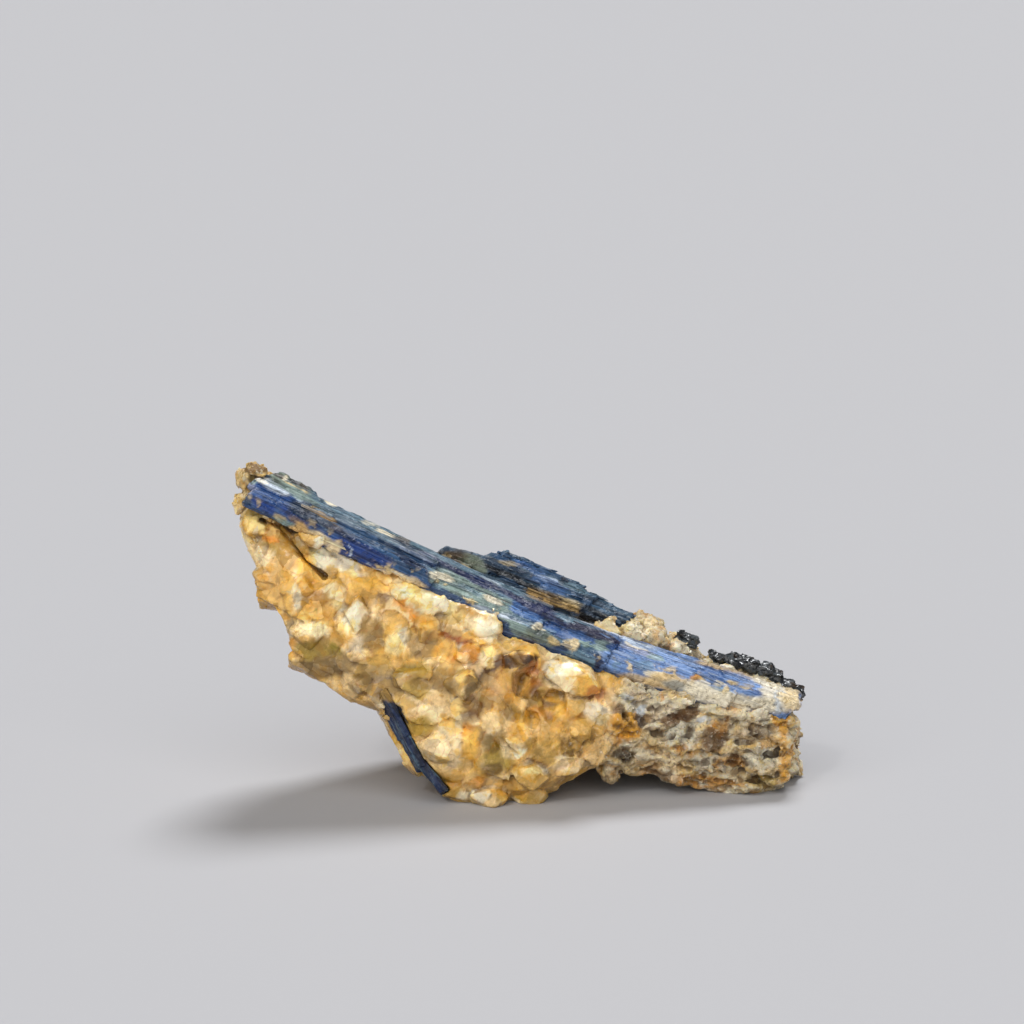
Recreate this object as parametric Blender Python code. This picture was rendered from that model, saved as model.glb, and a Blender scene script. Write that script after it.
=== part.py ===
"""Kyanite blade cluster on iron-stained quartz: a natural mineral specimen about 90 mm long.

Long kyanite blades lie along the top of a wedge of granular quartz. A jagged ridge of more blades
stands behind them, one thin blade runs down the lower left flank, and small black crystals sit on
the right end. X runs to the right, Y away from the front face, Z up. The specimen stands on z = 0
with the middle of its outline on the Z axis. Lengths are in millimetres until a mesh is made.
"""
import math
import random

import bmesh
import bpy
from mathutils import Matrix, Vector
from mathutils.bvhtree import BVHTree

MM = 0.001
SEAM = 0.3              # gap between one mineral and the next
BLADE_CHAMFER = 0.18    # share of a blade's thickness taken off its long edges
HULL_POINTS = 12        # corners thrown for one broken grain
GOLDEN_ANGLE = math.pi * (3 - math.sqrt(5))

# The quartz body, from the thin left tip to the right foot:
# x, underside z, upper face z, front y, back y.
BODY_STATIONS = (
    (-44.3, 42.0, 47.0, -13.0, -3.5),
    (-41.0, 32.5, 44.5, -14.5, 2.5),
    (-37.0, 22.5, 42.0, -16.0, 5.5),
    (-31.0, 17.5, 39.5, -17.0, 8.0),
    (-24.0, 13.5, 37.0, -18.0, 13.5),
    (-18.0, 5.0, 34.5, -19.5, 15.0),
    (-11.0, -1.0, 31.5, -20.5, 19.5),
    (-3.0, -1.2, 27.8, -21.0, 21.0),
    (5.0, 1.6, 24.8, -20.5, 19.5),
    (12.0, 4.8, 22.0, -18.0, 21.5),
    (20.0, 3.4, 19.5, -16.0, 18.5),
    (28.0, 0.8, 15.8, -15.0, 13.0),
    (36.0, -1.0, 13.6, -14.0, 12.0),
    (40.6, -0.2, 12.2, -12.5, 8.5),
    (42.4, 2.4, 11.6, -9.5, 4.0),
)
# One section of the body: shares of its depth and of its height, front underside first.
BODY_SECTION = (
    (0.10, 0.00), (0.04, 0.12), (0.01, 0.29), (0.00, 0.48), (0.03, 0.68), (0.08, 0.88),
    (0.14, 1.00), (0.42, 1.06), (0.70, 1.03), (0.90, 0.84), (1.00, 0.55), (0.97, 0.27),
    (0.88, 0.06), (0.66, 0.00), (0.38, 0.00),
)
STATION_STEP = 3.8      # longest stretch of the body without a section of its own
BROKEN_SURFACE = 0.7    # how far each corner of the body may stand in or out
END_BULGE = 0.9         # how far the body's two ends swell past their last section

# Broken quartz grains on the front: x, z of the middle, half length, half height, lean in degrees,
# and how far the grain stands out of the body.
FRONT_GRAINS = (
    (-0.6, 23.6, 2.8, 1.4, 10, 1.2),
    (-43.2, 43.6, 2.6, 2.4, 0, 1.0),
    (-41.2, 40.4, 3.0, 2.8, 10, 0.8),
    (-39.8, 36.2, 3.4, 3.4, -10, 1.0),
    (-39.8, 32.6, 3.8, 3.2, -10, 1.1),
    (-33.3, 40.0, 3.8, 2.8, 25, 1.6),
    (-33.6, 42.2, 2.8, 1.7, 20, 3.2),
    (-27.4, 38.0, 3.8, 1.9, 22, 1.2),
    (-36.2, 34.4, 3.6, 3.4, 15, 0.8),
    (-34.2, 27.2, 4.0, 3.2, 8, 1.7),
    (-35.6, 30.8, 2.8, 2.4, -5, 0.8),
    (-31.0, 33.4, 4.2, 3.4, -12, 1.1),
    (-29.4, 28.6, 2.6, 3.0, 10, 0.9),
    (-26.6, 30.0, 2.6, 4.4, -6, 1.9),
    (-23.2, 30.0, 2.9, 3.2, 12, 1.0),
    (-26.2, 24.4, 3.4, 2.8, 0, 1.3),
    (-20.2, 25.6, 2.6, 4.0, 16, 1.4),
    (-33.0, 21.8, 5.2, 3.2, 14, 0.9),
    (-25.4, 19.0, 4.4, 3.4, 20, 1.0),
    (-16.5, 32.6, 7.0, 3.0, 25, 2.0),
    (-8.0, 29.2, 7.0, 3.2, 24, 2.4),
    (-1.0, 26.4, 3.6, 2.6, 20, 1.8),
    (-15.6, 27.0, 4.8, 2.9, 12, 1.2),
    (-9.4, 24.2, 4.4, 2.4, 8, 1.4),
    (-17.6, 20.4, 4.8, 3.4, 6, 1.9),
    (-9.8, 19.4, 3.4, 3.4, 0, 2.1),
    (-15.8, 14.8, 4.0, 2.8, -8, 1.3),
    (-20.6, 14.6, 3.0, 3.0, 20, 0.9),
    (-12.8, 9.4, 4.8, 5.0, -10, 2.2),
    (-16.8, 6.4, 2.4, 3.4, 30, 0.7),
    (-4.8, 7.6, 3.2, 5.0, -14, 1.8),
    (0.6, 5.0, 3.6, 3.0, 8, 1.9),
    (-1.2, 11.2, 3.8, 3.0, 20, 1.2),
    (7.2, 20.0, 5.2, 3.5, 28, 3.2),
    (-10.4, 2.4, 3.8, 2.8, 0, 1.3),
    (-5.4, 1.0, 4.2, 2.6, 0, 2.6),
    (0.4, 1.0, 3.0, 2.1, -16, 1.8),
    (5.6, 6.4, 3.8, 2.8, -24, 1.5),
    (8.2, 12.2, 3.4, 2.8, 24, 1.5),
    (10.6, 8.8, 3.2, 3.0, 0, 1.7),
    (13.2, 13.6, 3.4, 2.6, 22, 1.6),
    (13.2, 3.6, 1.9, 2.5, 0, 2.0),
)
# Flat-lying ledges of the layered right end: the same columns.
LEDGES = (
    (16.5, 17.6, 4.4, 2.5, 14, 1.6),
    (23.5, 15.9, 5.0, 2.2, 12, 1.7),
    (30.5, 13.5, 5.2, 2.2, 10, 1.6),
    (37.5, 12.0, 5.4, 2.0, 8, 1.5),
    (41.4, 11.4, 2.6, 1.6, 0, 1.4),
    (16.6, 12.2, 2.0, 2.8, -10, 1.2),
    (22.6, 9.6, 3.8, 1.9, 8, 1.9),
    (29.2, 8.6, 4.0, 1.4, 14, 1.3),
    (36.4, 8.2, 4.4, 1.2, 10, 1.4),
    (40.6, 8.4, 2.0, 2.3, 0, 1.7),
    (20.8, 6.4, 4.6, 1.2, 10, 1.5),
    (28.4, 5.2, 5.2, 1.1, 8, 1.6),
    (36.8, 4.6, 5.6, 1.1, 2, 1.5),
    (25.8, 3.0, 4.8, 1.1, 8, 0.9),
    (33.6, 1.9, 5.0, 1.3, 6, 1.1),
    (39.8, 2.8, 3.2, 1.6, -8, 1.1),
    (41.0, 5.6, 2.2, 1.4, 0, 1.5),
)
# Pale crust behind the front blades: middle x, y, z and half sizes.
CRUST_GRAINS = (
    (-42.8, -8.4, 52.0, 2.2, 2.6, 0.9),
    (-44.7, -8.8, 50.4, 1.2, 2.9, 1.9),
    (-45.0, -10.4, 47.6, 1.1, 2.8, 2.5),
    (-44.2, -6.6, 46.6, 1.4, 3.4, 2.2),
    (-41.8, -3.4, 48.0, 2.4, 2.6, 2.4),
    (13.4, -0.2, 24.6, 3.4, 3.2, 3.3),
    (17.0, -0.6, 23.4, 3.4, 3.0, 3.3),
    (20.8, -0.8, 22.2, 3.2, 3.0, 3.0),
    (24.2, -0.6, 20.2, 2.8, 2.8, 2.6),
    (18.6, 4.4, 21.8, 5.2, 4.4, 4.0),
    (25.4, 4.0, 18.6, 4.4, 4.2, 3.4),
    (28.2, -0.4, 18.2, 2.8, 2.8, 2.6),
    (32.4, 0.6, 16.6, 3.6, 3.4, 2.4),
    (38.0, 0.8, 14.6, 4.4, 3.4, 2.2),
    (42.4, -1.2, 12.8, 2.6, 3.0, 2.0),
)
SCATTERED_GRAINS = 44   # on the back, the flanks and the underside edge
SCATTERED_SIZE = (3.0, 6.0)
SCATTER_SEED = 21
FRONT_FACE_Y = -10      # no scattered grain stands further forward

# Hollows cut into the body: middle x, y, z, half sizes, lean in degrees.
HOLLOWS = (
    ((0.2, -22.2, 20.4), (4.4, 6.6, 3.7), -15),
    ((3.8, -21.2, 16.8), (4.8, 5.0, 3.6), 30),
    ((-3.0, -23.4, 15.6), (4.0, 5.0, 5.6), -20),
    ((0.8, -22.2, 14.8), (3.6, 4.0, 3.4), 0),
    ((24.4, -16.6, 11.9), (4.6, 3.6, 1.3), -20),
    ((17.0, -17.2, 6.8), (2.2, 4.0, 1.9), 10),
    ((12.0, -19.0, 16.4), (1.1, 3.0, 1.2), 0),
    ((33.6, -15.8, 10.2), (5.6, 3.2, 0.9), 12),
    ((30.6, -16.0, 6.9), (4.2, 3.2, 0.8), 14),
    ((39.6, -14.4, 6.6), (3.4, 3.0, 0.7), 4),
)
# The open fissure below the left tip, as short straight cuts: from x, z, to x, z.
FISSURE = (((-42.4, 45.0), (-38.8, 43.4)), ((-39.2, 43.6), (-34.4, 38.2)), ((-34.8, 38.6), (-31.6, 35.9)))
FISSURE_WIDTH = 0.8
FISSURE_DEPTH = 4.0

# Blades: start, end, width across, thickness, roll in degrees, slant of the two ends.
FRONT_BLADES = (
    ((-43.4, -10.6, 48.8), (-15.0, -11.2, 35.6), 8.6, 2.7, 4, 0.10, -0.08),
    ((-42.6, -8.6, 50.0), (-34.0, -8.8, 45.6), 6.4, 2.0, -4, 0.30, 0.30),
    ((-41.0, -5.6, 50.3), (-34.0, -5.4, 46.6), 4.0, 1.8, 14, 0.60, -0.50),
    ((-38.6, -6.4, 47.5), (3.0, -7.0, 27.9), 6.4, 3.2, -2, 0.30, 0.20),
    ((-33.6, -13.4, 43.3), (-20.6, -13.7, 37.5), 3.0, 2.9, 8, 0.20, 0.35),
    ((-33.6, -9.8, 46.0), (-14.0, -10.0, 36.8), 4.4, 1.2, 6, 0.60, 0.60),
    ((-28.0, -4.6, 42.6), (-12.4, -5.2, 35.2), 2.2, 1.8, 10, 0.50, 0.40),
    ((-16.6, -13.1, 35.0), (1.6, -13.7, 27.2), 3.8, 2.6, 34, -0.10, 0.30),
    ((-3.0, -13.6, 28.6), (12.4, -13.0, 22.0), 4.4, 2.6, 30, 0.20, 0.12),
    ((-17.6, -9.2, 36.2), (13.8, -9.4, 23.0), 4.4, 3.6, 6, 0.20, 0.08),
    ((-15.4, -7.4, 35.4), (10.0, -7.4, 25.2), 2.2, 2.4, -8, 0.40, 0.35),
    ((2.0, -11.8, 26.8), (12.6, -11.6, 22.3), 3.0, 2.0, 20, 0.50, -0.20),
    ((12.2, -11.7, 21.8), (33.0, -10.2, 15.1), 5.0, 3.0, 27, 0.06, 0.45),
    ((13.0, -8.6, 22.7), (43.0, -7.0, 12.8), 6.2, 3.2, 14, 0.14, 0.30),
    ((14.8, -6.6, 23.5), (38.0, -5.2, 15.6), 2.6, 2.0, 6, 0.40, 0.50),
    ((24.0, -10.6, 17.7), (41.4, -8.6, 12.6), 3.8, 2.4, 24, 0.50, 0.40),
    ((29.0, -8.0, 17.7), (43.6, -6.4, 13.4), 2.4, 1.6, 10, 0.40, -0.40),
    ((-9.0, -5.0, 31.6), (16.0, -4.6, 22.3), 3.0, 2.4, -6, 0.40, 0.50),
)
BACK_BLADES = (
    ((-16.0, -1.6, 35.6), (2.6, -2.2, 28.0), 5.0, 2.8, 48, 0.50, 0.20),
    ((-15.0, 0.6, 36.2), (0.2, 0.8, 32.2), 3.8, 2.4, 58, 0.70, -0.50),
    ((-8.2, 0.2, 35.2), (9.6, 0.0, 27.6), 5.0, 3.0, 44, 0.60, 0.40),
    ((-5.2, 1.8, 35.2), (7.8, 2.0, 29.4), 4.2, 2.2, 62, 0.50, 0.60),
    ((0.6, 1.2, 32.2), (16.2, 0.2, 24.9), 4.4, 2.4, 38, -0.40, 0.50),
    ((4.2, 2.8, 29.6), (16.8, 3.4, 24.0), 3.6, 2.0, 54, 0.50, -0.30),
    ((-14.4, 4.2, 33.8), (6.4, 4.4, 27.4), 6.4, 3.0, -20, 0.40, 0.50),
    ((-9.8, 6.8, 32.2), (9.8, 7.6, 25.4), 5.6, 3.0, -38, -0.30, 0.40),
    ((-12.0, 9.0, 30.0), (4.4, 9.8, 24.8), 5.0, 2.6, -52, 0.50, 0.30),
    ((-3.4, 3.4, 33.0), (12.0, 4.0, 26.0), 3.2, 2.4, 8, 0.60, 0.50),
    ((-12.4, 1.4, 36.0), (-7.0, 1.8, 34.4), 2.2, 1.6, 70, 0.80, -0.80),
    ((-4.0, 2.0, 35.2), (1.4, 2.4, 33.2), 2.2, 1.6, 66, -0.70, 0.60),
    ((2.8, 2.6, 32.0), (8.0, 2.8, 29.8), 2.0, 1.6, 60, -0.50, 0.70),
    ((8.6, 5.2, 26.4), (17.8, 6.6, 22.6), 4.2, 2.4, -22, 0.30, 0.50),
)
FLANK_BLADES = (
    ((-22.8, -16.8, 17.4), (-19.4, -17.4, 10.6), 3.6, 1.0, -30, 0.50, 0.20),
    ((-20.6, -16.9, 13.2), (-16.6, -17.8, 5.6), 3.2, 1.1, -24, 0.30, 0.30),
    ((-17.8, -17.2, 7.6), (-13.0, -18.4, 2.0), 3.0, 1.2, -14, 0.30, 0.20),
)
# Black crystals: middle x, y, z and half sizes of each grain.
DARK_KNOB = (
    (26.4, 1.2, 21.7, 1.9, 1.7, 1.7),
    (27.4, 0.9, 21.9, 1.3, 1.2, 1.3),
    (25.4, 1.9, 22.3, 1.2, 1.2, 1.1),
)
DARK_RIDGE = (
    (31.4, 1.2, 18.8, 2.2, 1.9, 1.2),
    (34.2, 1.0, 18.3, 2.6, 2.2, 1.4),
    (36.9, 1.0, 17.8, 2.4, 2.0, 1.5),
    (39.2, 1.0, 17.0, 2.0, 1.9, 1.5),
    (40.9, 0.6, 15.9, 1.7, 1.9, 1.3),
    (42.9, 0.0, 14.9, 1.7, 1.9, 1.0),
    (44.5, -0.9, 13.8, 1.3, 1.8, 1.2),
    (35.2, 3.2, 17.9, 2.8, 2.0, 1.4),
)

# Colour, roughness and metallic value of each mineral.
MATERIALS = {
    "stained quartz": ((0.62, 0.43, 0.19, 1), 0.45, 0.0),
    "blue kyanite": ((0.035, 0.075, 0.22, 1), 0.30, 0.0),
    "dark kyanite": ((0.03, 0.05, 0.10, 1), 0.35, 0.0),
    "flank kyanite": ((0.025, 0.045, 0.11, 1), 0.32, 0.0),
    "black crystal": ((0.012, 0.013, 0.016, 1), 0.30, 0.0),
}


def clear_scene():
    for obj in list(bpy.data.objects):
        bpy.data.objects.remove(obj)


def make_collection(name, hidden=False, inside=None):
    group = bpy.data.collections.new(name)
    (inside or bpy.context.scene.collection).children.link(group)
    group.hide_render = hidden
    return group


def mineral(name):
    material = bpy.data.materials.new(name)
    material.use_nodes = True
    shader = material.node_tree.nodes["Principled BSDF"]
    color, roughness, metallic = MATERIALS[name]
    shader.inputs["Base Color"].default_value = color
    shader.inputs["Roughness"].default_value = roughness
    shader.inputs["Metallic"].default_value = metallic
    return material


def add_object(name, bm, group):
    """Turns a bmesh in millimetres into an object in metres."""
    bmesh.ops.recalc_face_normals(bm, faces=bm.faces)
    bmesh.ops.scale(bm, vec=(MM, MM, MM), verts=bm.verts)
    mesh = bpy.data.meshes.new(name)
    bm.to_mesh(mesh)
    bm.free()
    obj = bpy.data.objects.new(name, mesh)
    group.objects.link(obj)
    if group.hide_render:
        obj.hide_render = True
        obj.display_type = "WIRE"
    return obj


def body_sections():
    """The stations, with more set evenly between them."""
    rows = [BODY_STATIONS[0]]
    for left, right in zip(BODY_STATIONS, BODY_STATIONS[1:]):
        count = math.ceil((right[0] - left[0]) / STATION_STEP)
        for k in range(1, count + 1):
            rows.append(tuple(a + (b - a) * k / count for a, b in zip(left, right)))
    return rows


def body_mesh(rng):
    """The quartz body as a loft through its sections, every corner a little out of line."""
    bm = bmesh.new()
    rings = []
    for x, low, high, front, back in body_sections():
        ring = []
        for deep, tall in BODY_SECTION:
            corner = Vector((x, front + deep * (back - front), low + tall * (high - low)))
            uneven = Vector(rng.uniform(-1, 1) for _ in range(3)) * BROKEN_SURFACE
            uneven.x *= 1.4
            ring.append(bm.verts.new(corner + uneven))
        rings.append(ring)
    for left, right in zip(rings, rings[1:]):
        for k in range(len(left)):
            after = (k + 1) % len(left)
            bm.faces.new((left[k], left[after], right[after], right[k]))
    for ring, outward in ((rings[0], -END_BULGE), (rings[-1], END_BULGE)):
        middle = sum((vert.co for vert in ring), Vector()) / len(ring)
        peak = bm.verts.new(middle + Vector((outward, 0, 0)))
        for k in range(len(ring)):
            bm.faces.new((ring[k], ring[(k + 1) % len(ring)], peak))
    bmesh.ops.triangulate(bm, faces=bm.faces)
    bmesh.ops.recalc_face_normals(bm, faces=bm.faces)
    return bm


def grain_mesh(half_sizes, turn, rng):
    """A broken grain: the convex hull of points spread unevenly over an ellipsoid."""
    bm = bmesh.new()
    for k in range(HULL_POINTS):
        up = 1 - 2 * (k + 0.5) / HULL_POINTS
        around = k * GOLDEN_ANGLE + rng.uniform(-0.5, 0.5)
        across = math.sqrt(max(0.0, 1 - up * up))
        reach = rng.uniform(0.86, 1.14)
        point = Vector((across * math.cos(around), across * math.sin(around), up)) * reach
        bm.verts.new(Vector(a * b for a, b in zip(point, half_sizes)))
    hull = bmesh.ops.convex_hull(bm, input=bm.verts)
    loose = [v for v in hull["geom_interior"] if isinstance(v, bmesh.types.BMVert)]
    bmesh.ops.delete(bm, geom=loose, context="VERTS")
    bmesh.ops.rotate(bm, matrix=turn, verts=bm.verts)
    return bm


def add_grain(name, middle, half_sizes, lean, rng, group):
    """lean tips the grain's long side down towards +X, in degrees."""
    turn = Matrix.Rotation(math.radians(lean), 3, "Y")
    bm = grain_mesh(half_sizes, turn, rng)
    bmesh.ops.translate(bm, vec=middle, verts=bm.verts)
    return add_object(name, bm, group)


def add_set_grains(name, rows, depth_share, body, rng, group):
    """Grains and ledges of the front, each set on the body where a line from the front meets it."""
    for index, (x, z, length, height, lean, proud) in enumerate(rows):
        deep = depth_share * max(height, 0.5 * length)
        place, _, _, _ = body.ray_cast(Vector((x, -80, z)), Vector((0, 1, 0)))
        surface = place.y if place else BODY_STATIONS[0][3]
        middle = Vector((x, surface - proud + deep, z))
        add_grain(f"{name}_{index}", middle, (length, deep, height), lean, rng, group)


def add_scattered_grains(body, rng, group):
    """Grains thrown over the back, the flanks and the lower edge of the body."""
    for index in range(SCATTERED_GRAINS):
        x = -41 + 84 * (index + rng.random()) / SCATTERED_GRAINS
        around = math.radians(rng.uniform(-115, 160))
        row = min(BODY_STATIONS, key=lambda station: abs(station[0] - x))
        middle = Vector((x, 0.5 * (row[3] + row[4]), 0.5 * (row[1] + row[2])))
        away = Vector((rng.uniform(-0.3, 0.3), math.cos(around), math.sin(around)))
        place, _, _, _ = body.ray_cast(middle + away * 60, -away)
        below_flank = place and place.z < 12 and -26 < place.x < -12
        if not place or place.y < FRONT_FACE_Y or below_flank:
            continue
        size = rng.uniform(*SCATTERED_SIZE)
        half_sizes = (size * rng.uniform(0.9, 1.4), size, size * rng.uniform(0.6, 0.95))
        add_grain(f"scattered_{index}", place - away * 0.62 * size, half_sizes, 20, rng, group)


def blade_mesh(start, end, width, thickness, roll, slants, grow):
    """A flat blade with chamfered long edges and slanted ends. grow swells it, for the seat it lies in."""
    line = Vector(end) - Vector(start)
    length = line.length + 2 * grow
    bm = bmesh.new()
    bmesh.ops.create_cube(bm, size=1)
    bmesh.ops.scale(bm, vec=(length, width + 2 * grow, thickness + 2 * grow), verts=bm.verts)
    long_edges = [
        edge for edge in bm.edges
        if abs((edge.verts[0].co - edge.verts[1].co).x) > 0.5 * length
    ]
    bmesh.ops.bevel(
        bm, geom=long_edges, offset=BLADE_CHAMFER * thickness, segments=1,
        profile=0.5, affect="EDGES",
    )
    for vert in bm.verts:
        slant = slants[0] if vert.co.x < 0 else slants[1]
        vert.co.x += slant * vert.co.y + 0.25 * vert.co.z
    along = line.normalized()
    across = Vector((0, 1, 0)) - along * along.y
    across.normalize()
    up = along.cross(across)
    turn = Matrix((along, across, up)).transposed() @ Matrix.Rotation(math.radians(roll), 3, "X")
    bmesh.ops.rotate(bm, matrix=turn, verts=bm.verts)
    bmesh.ops.translate(bm, vec=(Vector(start) + Vector(end)) / 2, verts=bm.verts)
    return bm


def add_blades(name, rows, group, grow=0.0):
    for index, (start, end, width, thickness, roll, slant_a, slant_b) in enumerate(rows):
        bm = blade_mesh(start, end, width, thickness, roll, (slant_a, slant_b), grow)
        add_object(f"{name}_{index}", bm, group)


def add_dark_grains(name, rows, group, seed, grow=0.0):
    rng = random.Random(seed)
    for index, (x, y, z, *half_sizes) in enumerate(rows):
        swollen = [size + grow for size in half_sizes]
        add_grain(f"{name}_{index}", (x, y, z), swollen, 18, rng, group)


def boolean(obj, operation, group):
    modifier = obj.modifiers.new(f"{operation.lower()} {group.name}", "BOOLEAN")
    modifier.operation = operation
    modifier.operand_type = "COLLECTION"
    modifier.collection = group
    modifier.solver = "EXACT"
    return modifier


def bake(obj):
    """Replaces the object's mesh with what its modifiers make of it."""
    bpy.context.view_layer.update()
    graph = bpy.context.evaluated_depsgraph_get()
    mesh = bpy.data.meshes.new_from_object(obj.evaluated_get(graph))
    obj.modifiers.clear()
    obj.data = mesh


def drop_crumbs(obj):
    """Keeps the largest piece of a mesh and takes away the crumbs that a cut left loose."""
    bm = bmesh.new()
    bm.from_mesh(obj.data)
    waiting = set(bm.verts)
    pieces = []
    while waiting:
        piece = {waiting.pop()}
        edge_of_piece = list(piece)
        while edge_of_piece:
            vert = edge_of_piece.pop()
            near = {edge.other_vert(vert) for edge in vert.link_edges} - piece
            piece |= near
            edge_of_piece.extend(near)
        waiting -= piece
        pieces.append(piece)
    largest = max(pieces, key=len)
    crumbs = [vert for vert in bm.verts if vert not in largest]
    bmesh.ops.delete(bm, geom=crumbs, context="VERTS")
    bm.to_mesh(obj.data)
    bm.free()


def joined(name, rows_group, shown):
    """One solid: the union of every object in a group of overlapping pieces."""
    members = list(rows_group.objects)
    first = members[0]
    rows_group.objects.unlink(first)
    shown.objects.link(first)
    first.name = name
    first.hide_render = False
    first.display_type = "TEXTURED"
    boolean(first, "UNION", rows_group)
    bake(first)
    for obj in members[1:]:
        bpy.data.objects.remove(obj)
    return first


def add_floor_cutter(group):
    bm = bmesh.new()
    bmesh.ops.create_cube(bm, size=1)
    bmesh.ops.scale(bm, vec=(140, 100, 20), verts=bm.verts)
    bmesh.ops.translate(bm, vec=(0, 0, -10), verts=bm.verts)
    return add_object("below_the_floor", bm, group)


def add_hollows(group, rng):
    for index, (middle, half_sizes, lean) in enumerate(HOLLOWS):
        add_grain(f"hollow_{index}", middle, half_sizes, lean, rng, group)


def add_fissure(body, group):
    for index, ((x0, z0), (x1, z1)) in enumerate(FISSURE):
        place, _, _, _ = body.ray_cast(Vector(((x0 + x1) / 2, -80, (z0 + z1) / 2)), Vector((0, 1, 0)))
        y = place.y - 1.5
        bm = blade_mesh((x0, y, z0), (x1, y, z1), 2 * FISSURE_DEPTH, FISSURE_WIDTH, 0, (0, 0), 0)
        add_object(f"fissure_{index}", bm, group)


def build_matrix(shown, seats):
    """The quartz: its body, the grains grown on it, the hollows broken out of it, the seats of the blades."""
    rng = random.Random(SCATTER_SEED)
    bm = body_mesh(rng)
    body = BVHTree.FromBMesh(bm)
    matrix = add_object("quartz_matrix", bm, shown)
    grains = make_collection("grains", hidden=True)
    add_set_grains("grain", FRONT_GRAINS, 1.0, body, rng, grains)
    add_set_grains("ledge", LEDGES, 1.0, body, rng, grains)
    for index, (x, y, z, *half_sizes) in enumerate(CRUST_GRAINS):
        add_grain(f"crust_{index}", (x, y, z), half_sizes, 20, rng, grains)
    add_scattered_grains(body, rng, grains)
    boolean(matrix, "UNION", grains)
    bake(matrix)
    cutters = make_collection("cutters", hidden=True)
    add_hollows(cutters, rng)
    add_fissure(body, cutters)
    add_floor_cutter(cutters)
    boolean(matrix, "DIFFERENCE", cutters)
    bake(matrix)
    cut_seats(matrix, seats)
    set_mineral(matrix, "stained quartz")


def cut_seats(obj, seats):
    """Cuts the room that other minerals take, with the seam around it, and drops the crumbs this leaves."""
    boolean(obj, "DIFFERENCE", seats)
    bake(obj)
    drop_crumbs(obj)


def set_mineral(obj, name):
    obj.data.materials.clear()
    obj.data.materials.append(mineral(name))


def build_blades(name, rows, mineral_name, shown, seats):
    """A cluster of blades grown into one solid, cut back where the clusters before it stand."""
    pieces = make_collection(f"{name} pieces", hidden=True)
    add_blades(name, rows, pieces)
    node = joined(name, pieces, shown)
    if seats.all_objects:
        cut_seats(node, seats)
    set_mineral(node, mineral_name)
    own_seats = make_collection(f"{name} seats", hidden=True, inside=seats)
    add_blades(f"{name}_seat", rows, own_seats, SEAM)


def build_dark_crystals(name, rows, seed, shown, seats):
    pieces = make_collection(f"{name} pieces", hidden=True)
    add_dark_grains(name, rows, pieces, seed)
    node = joined(name, pieces, shown)
    cut_seats(node, seats)
    set_mineral(node, "black crystal")
    own_seats = make_collection(f"{name} seats", hidden=True, inside=seats)
    add_dark_grains(f"{name}_seat", rows, own_seats, seed, SEAM)


def centre_over_origin(group):
    """Moves the whole specimen so that the middle of its outline stands on the Z axis."""
    corners = [vert.co for obj in group.objects for vert in obj.data.vertices]
    offset = Vector(-(min(co[i] for co in corners) + max(co[i] for co in corners)) / 2 for i in (0, 1))
    for obj in group.objects:
        obj.data.transform(Matrix.Translation((offset.x, offset.y, 0)))


def main():
    clear_scene()
    shown = make_collection("kyanite blade cluster")
    seats = make_collection("seats", hidden=True)
    build_blades("front_blades", FRONT_BLADES, "blue kyanite", shown, seats)
    build_blades("back_blades", BACK_BLADES, "dark kyanite", shown, seats)
    build_blades("flank_blade", FLANK_BLADES, "flank kyanite", shown, seats)
    build_dark_crystals("dark_knob", DARK_KNOB, 3, shown, seats)
    build_dark_crystals("dark_ridge", DARK_RIDGE, 5, shown, seats)
    build_matrix(shown, seats)
    centre_over_origin(shown)


main()
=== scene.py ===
"""Looks of the kyanite blade cluster: blue kyanite blades grown on iron-stained quartz.

Each mineral is skinned afresh from its own solid, then broken, striated, crusted and stained in mesh
code. Lengths are in millimetres until a mesh is written. In a call for noise, the number after the size
is its seed and the one after that its octaves.
"""
import math
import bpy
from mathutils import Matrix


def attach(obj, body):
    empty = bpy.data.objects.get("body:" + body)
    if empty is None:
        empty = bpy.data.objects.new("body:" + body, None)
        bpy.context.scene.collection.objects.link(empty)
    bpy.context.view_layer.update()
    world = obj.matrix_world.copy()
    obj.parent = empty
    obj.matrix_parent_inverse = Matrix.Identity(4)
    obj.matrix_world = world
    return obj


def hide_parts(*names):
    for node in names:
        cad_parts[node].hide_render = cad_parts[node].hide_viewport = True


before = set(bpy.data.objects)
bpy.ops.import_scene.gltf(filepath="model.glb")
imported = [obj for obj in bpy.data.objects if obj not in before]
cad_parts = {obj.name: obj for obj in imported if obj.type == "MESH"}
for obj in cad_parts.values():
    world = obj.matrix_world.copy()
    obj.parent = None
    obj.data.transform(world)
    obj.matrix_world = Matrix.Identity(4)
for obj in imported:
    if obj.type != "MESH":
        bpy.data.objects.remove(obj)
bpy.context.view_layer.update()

from types import SimpleNamespace

import bmesh
import bpy
import numpy as np
from mathutils import Vector
from mathutils.bvhtree import BVHTree
from mathutils.kdtree import KDTree

MM = 0.001

# ---------------------------------------------------------------- camera

CAMERA_PLACE = (-2.16, -477.8, 136.2)
CAMERA_TILT = 10.97         # degrees below level
CAMERA_LENS = 105.5
SENSOR_WIDTH = 36.0
NEAREST_SEEN = 0.01         # metres
FARTHEST_SEEN = 100
# Stains and markings are placed on an upright sheet just in front of the cluster, as seen from the front.
SHEET_Y = -12.0


def set_camera():
    data = bpy.data.cameras.new("camera")
    data.lens = CAMERA_LENS
    data.sensor_width = SENSOR_WIDTH
    data.clip_start = NEAREST_SEEN
    data.clip_end = FARTHEST_SEEN
    camera = bpy.data.objects.new("camera", data)
    camera.location = Vector(CAMERA_PLACE) * MM
    camera.rotation_euler = (math.radians(90 - CAMERA_TILT), 0, 0)
    bpy.context.scene.collection.objects.link(camera)
    bpy.context.scene.camera = camera


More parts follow.
